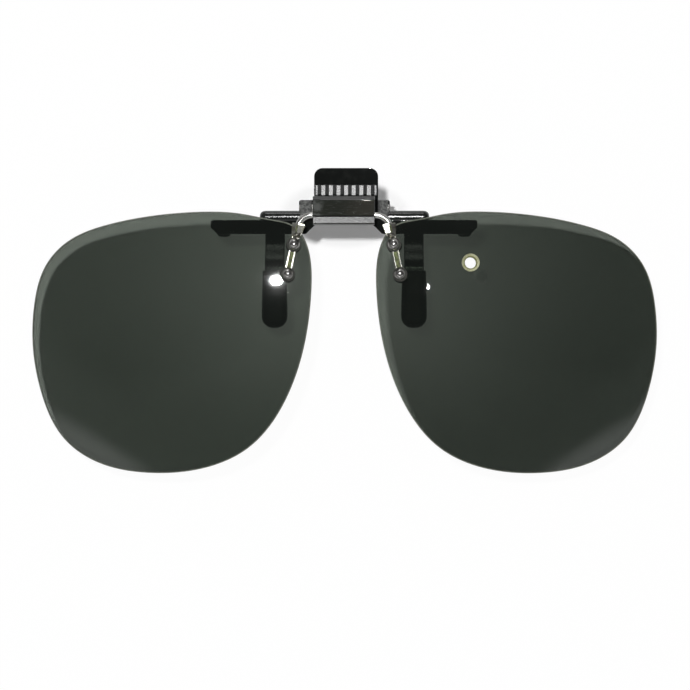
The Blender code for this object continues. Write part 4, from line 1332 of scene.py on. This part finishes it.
def buildSleeve(word, side):
    # soft tube with a round end, drawn on over the finger
    halfX = sleeve["width"] / 2
    halfY = sleeve["thick"] / 2
    pocketX = finger["width"] / 2 + sleeve["fit"]
    pocketY = finger["thick"] / 2 + sleeve["fit"]
    topX = halfX * sleeve["taper"][0]
    topY = halfY * sleeve["taper"][1]
    floor = sleeveBottom + sleeve["floor"] - sleeve["fit"]
    mouth = sleeve["mouth"]
    rim = sleeveTop - mouth
    endRound = halfX - sleeve["tip"]
    low = sleeveBottom + endRound
    # station: height, half width, half thickness; up the pocket, over the mouth, down to the round end
    stations = [(up, pocketX, pocketY) for up in (floor, floor + sleeve["firstRing"], rim)]
    for step in range(1, 6):
        turn = math.pi * step / 6
        share = (1 - math.cos(turn)) / 2
        up = rim + mouth * math.sin(turn)
        stations.append((up, between(pocketX, topX, share), between(pocketY, topY, share)))
    for step in range(11):
        share = step / 10
        ease = smooth(share)
        stations.append((between(rim, low, share), between(topX, halfX, ease), between(topY, halfY, ease)))
    for step in range(1, 12):
        turn = math.pi / 2 * step / 12
        deep = halfY * (1 - sleeve["tipThin"] * math.sin(turn) ** 5)
        stations.append((low - endRound * math.sin(turn), sleeve["tip"] + endRound * math.cos(turn), deep))
    middle = side * finger["x"]
    rows = []
    for up, across, deep in stations:
        rows.append([(middle + x * across, sleeveMid + y * deep, up) for x, y in squared(sleeve["square"])])
    solid = newSolid("sleeve" + word, loft(rows + [[(middle, sleeveMid, sleeveBottom)]]), "softRubber")
    return finishSolid(solid, "clip_rear", "sleeve_" + word.lower(), sleeve["sharp"])


buildRearJaw()
for word, side in sides.items():
    buildSleeve(word, side)
print("rear jaw and sleeves built")


# Camera at the photograph's angle
shot = {
    "distance": 700 * mm,
    "azimuth": math.radians(0.6),
    "frameWidth": 144.65 * mm,  # at the wire
    "centre": (0.25 * mm, -24.85 * mm),
    "sensor": 36.0,
    "nearest": 10 * mm,
}
aim = Vector((shot["centre"][0], axle.y, shot["centre"][1]))
back = Vector((math.sin(shot["azimuth"]), -math.cos(shot["azimuth"]), 0))
cameraData = bpy.data.cameras.new("camera")
cameraData.sensor_width = shot["sensor"]
cameraData.lens = shot["sensor"] * shot["distance"] / shot["frameWidth"]
cameraData.clip_start = shot["nearest"]
camera = bpy.data.objects.new("camera", cameraData)
camera.location = aim + back * shot["distance"]
camera.rotation_euler = (-back).to_track_quat("-Z", "Y").to_euler()
bpy.context.scene.collection.objects.link(camera)
bpy.context.scene.camera = camera

# Lamps: place, what it points at, width, height, watts, which surfaces it lights
lamps = {
    "key": ((-72, -806, 75), (0, -6, -6), 38, 30, 5.5, "matt"),
    "flash": ((19, -806, 95), (0, -6, -6), 38, 26, 5.0, "glossy"),
    "glint": ((19, -806, 74), (0, -6, -6), 6, 18, 0.04, "glossy"),
    "top": ((-20, -150, 560), (0, -6, 0), 170, 150, 0.48, "all"),
    "low": ((-45, -300, -440), (0, -6, 0), 90, 70, 0.15, "all"),
}
for name, (place, target, width, height, watts, lights) in lamps.items():
    data = bpy.data.lights.new(name, "AREA")
    data.shape = "ELLIPSE" if lights == "glossy" else "RECTANGLE"
    data.size = width * mm
    data.size_y = height * mm
    data.energy = watts
    lamp = bpy.data.objects.new(name, data)
    lamp.location = Vector(place) * mm
    lamp.rotation_euler = (Vector(target) - Vector(place)).to_track_quat("-Z", "Y").to_euler()
    lamp.visible_glossy = lights != "matt"
    lamp.visible_diffuse = lights != "glossy"
    bpy.context.scene.collection.objects.link(lamp)
    if lights == "glossy":
        # the right lens mirrors the glint, everything else the flash
        group = bpy.data.collections.new(name + "Surfaces")
        group.objects.link(bpy.data.objects["lensRight"])
        group.collection_objects[0].light_linking.link_state = "INCLUDE" if name == "glint" else "EXCLUDE"
        lamp.light_linking.receiver_collection = group

# Paper that the clip lies on, behind it in this view; only its front counts
paper = {
    "y": 17 * mm,
    "half": 1.5,
    "tone": colour(0.95, 0.95, 0.95),
    "white": 0.97,  # share of plain white
    "shaded": 0.14,  # the same close to the clip's middle, where its shadow shows
    "middle": (0, 0, 3.5 * mm),
    "reach": (1 / 17, 0, 1 / 9),  # 1 / mm
    "through": (0.0, 0.44),  # painted light: least and most share of glowing white seen through a lens, a pool brightest by the nose
    "throughMiddle": (0, 0, -10 * mm),
    "throughReach": (1 / 66, 0, 1 / 45),
    "spot": colour(0.115, 0.125, 0.11),  # painted shade: a darker tone over the place where the key's light comes through the tag hole
    "spotReach": (1 / 1.5, 0, 1 / 1.5),
}


def buildPaper():
    bm = bmesh.new()
    half = paper["half"]
    bm.faces.new([bm.verts.new((x, paper["y"], z)) for x, z in rectangle(-half, half, -half, half)])
    material, unused, place = startFinish("paper")
    tree = material.node_tree
    tree.nodes.remove(unused)

    def path(name):
        return place.add("ShaderNodeLightPath", None, None, name)

    def away(middle, reach):
        offset = place.vector("SUBTRACT", middle)
        return offset.stretch([share / mm for share in reach]).vector("LENGTH", out="Value")

    inLens = path("Transparent Depth") > 0.5
    near = away(paper["middle"], paper["reach"])
    share = paper["shaded"] + near.ease(0.7, 0.88) * (paper["white"] - paper["shaded"])
    least, most = paper["through"]
    # painted light: through a lens the paper glows brightest by the nose and less further out
    far = away(paper["throughMiddle"], paper["throughReach"]).ease(-0.1, 1.0)
    seen = path("Is Camera Ray") * ((1 - inLens) * share + inLens * (most - far * (most - least)))
    white = seen.most(path("Is Glossy Ray").most(path("Is Transmission Ray")) * share)
    # painted shade: the paper is darkened where the key's light falls through the tag hole
    hole = onLens(lens["tagIn"], lens["tagDrop"])
    ray = hole - Vector(lamps["key"][0]) * mm
    spot = hole + ray * (paper["y"] - hole.y) / ray.y
    tone = away((spot.x, 0, spot.z), paper["spotReach"]).ease(0.5, 1.2).blend(paper["spot"], paper["tone"])
    matt = place.add("ShaderNodeBsdfDiffuse", None, {"Color": tone})
    glow = place.add("ShaderNodeEmission", None, {"Color": colour(1, 1, 1), "Strength": 1.0})
    front = place.add("ShaderNodeMixShader", None, {0: white, 1: matt, 2: glow})
    clear = place.add("ShaderNodeBsdfTransparent")
    behind = place.add("ShaderNodeNewGeometry", None, None, "Backfacing")
    both = place.add("ShaderNodeMixShader", None, {0: behind, 1: front, 2: clear})
    place.feed(tree.nodes["Material Output"].inputs["Surface"], both)
    newPiece("paper", bm, [material])


# Room: white to the camera, a dim studio to everything else
room = {
    "front": 0.03,
    "left": 0.12,
    "right": 0.05,
    "up": 0.12,
    "down": 0.03,
    "pane": 1.3,  # soft light low on both sides
    "paneWay": (0.58, -0.81),  # across and up
}


def buildRoom():
    world = bpy.data.worlds.new("room")
    bpy.context.scene.world = world
    world.use_nodes = True
    tree = world.node_tree
    way = Flow(tree).add("ShaderNodeTexCoord", None, None, "Generated")
    across = way.part("X")
    up = way.part("Z")
    level = room["front"] + (0 - across).ease(0.05, 0.8) * room["left"]
    level = level + across.ease(0.1, 0.8) * room["right"]
    level = level + up.ease(0.15, 0.9) * room["up"] + (0 - up).ease(0.15, 0.9) * room["down"]
    side = way.vector("ABSOLUTE").part("X")
    pane = side * room["paneWay"][0] + up * room["paneWay"][1]
    ahead = 0 - way.part("Y")
    window = pane.ease(0.66, 0.72) * (1 - pane.ease(0.78, 0.86)) * ahead.ease(0.3, 0.5) * room["pane"]
    level = level + window * way.add("ShaderNodeLightPath", None, None, "Is Glossy Ray")
    seen = way.add("ShaderNodeLightPath", None, None, "Is Camera Ray")
    background = tree.nodes["Background"]
    background.inputs["Color"].default_value = colour(1, 1, 1)
    way.feed(background.inputs["Strength"], seen + (1 - seen) * level)


buildPaper()
buildRoom()
bpy.context.scene.view_settings.view_transform = "Standard"
print("camera, lamps, paper and room set")
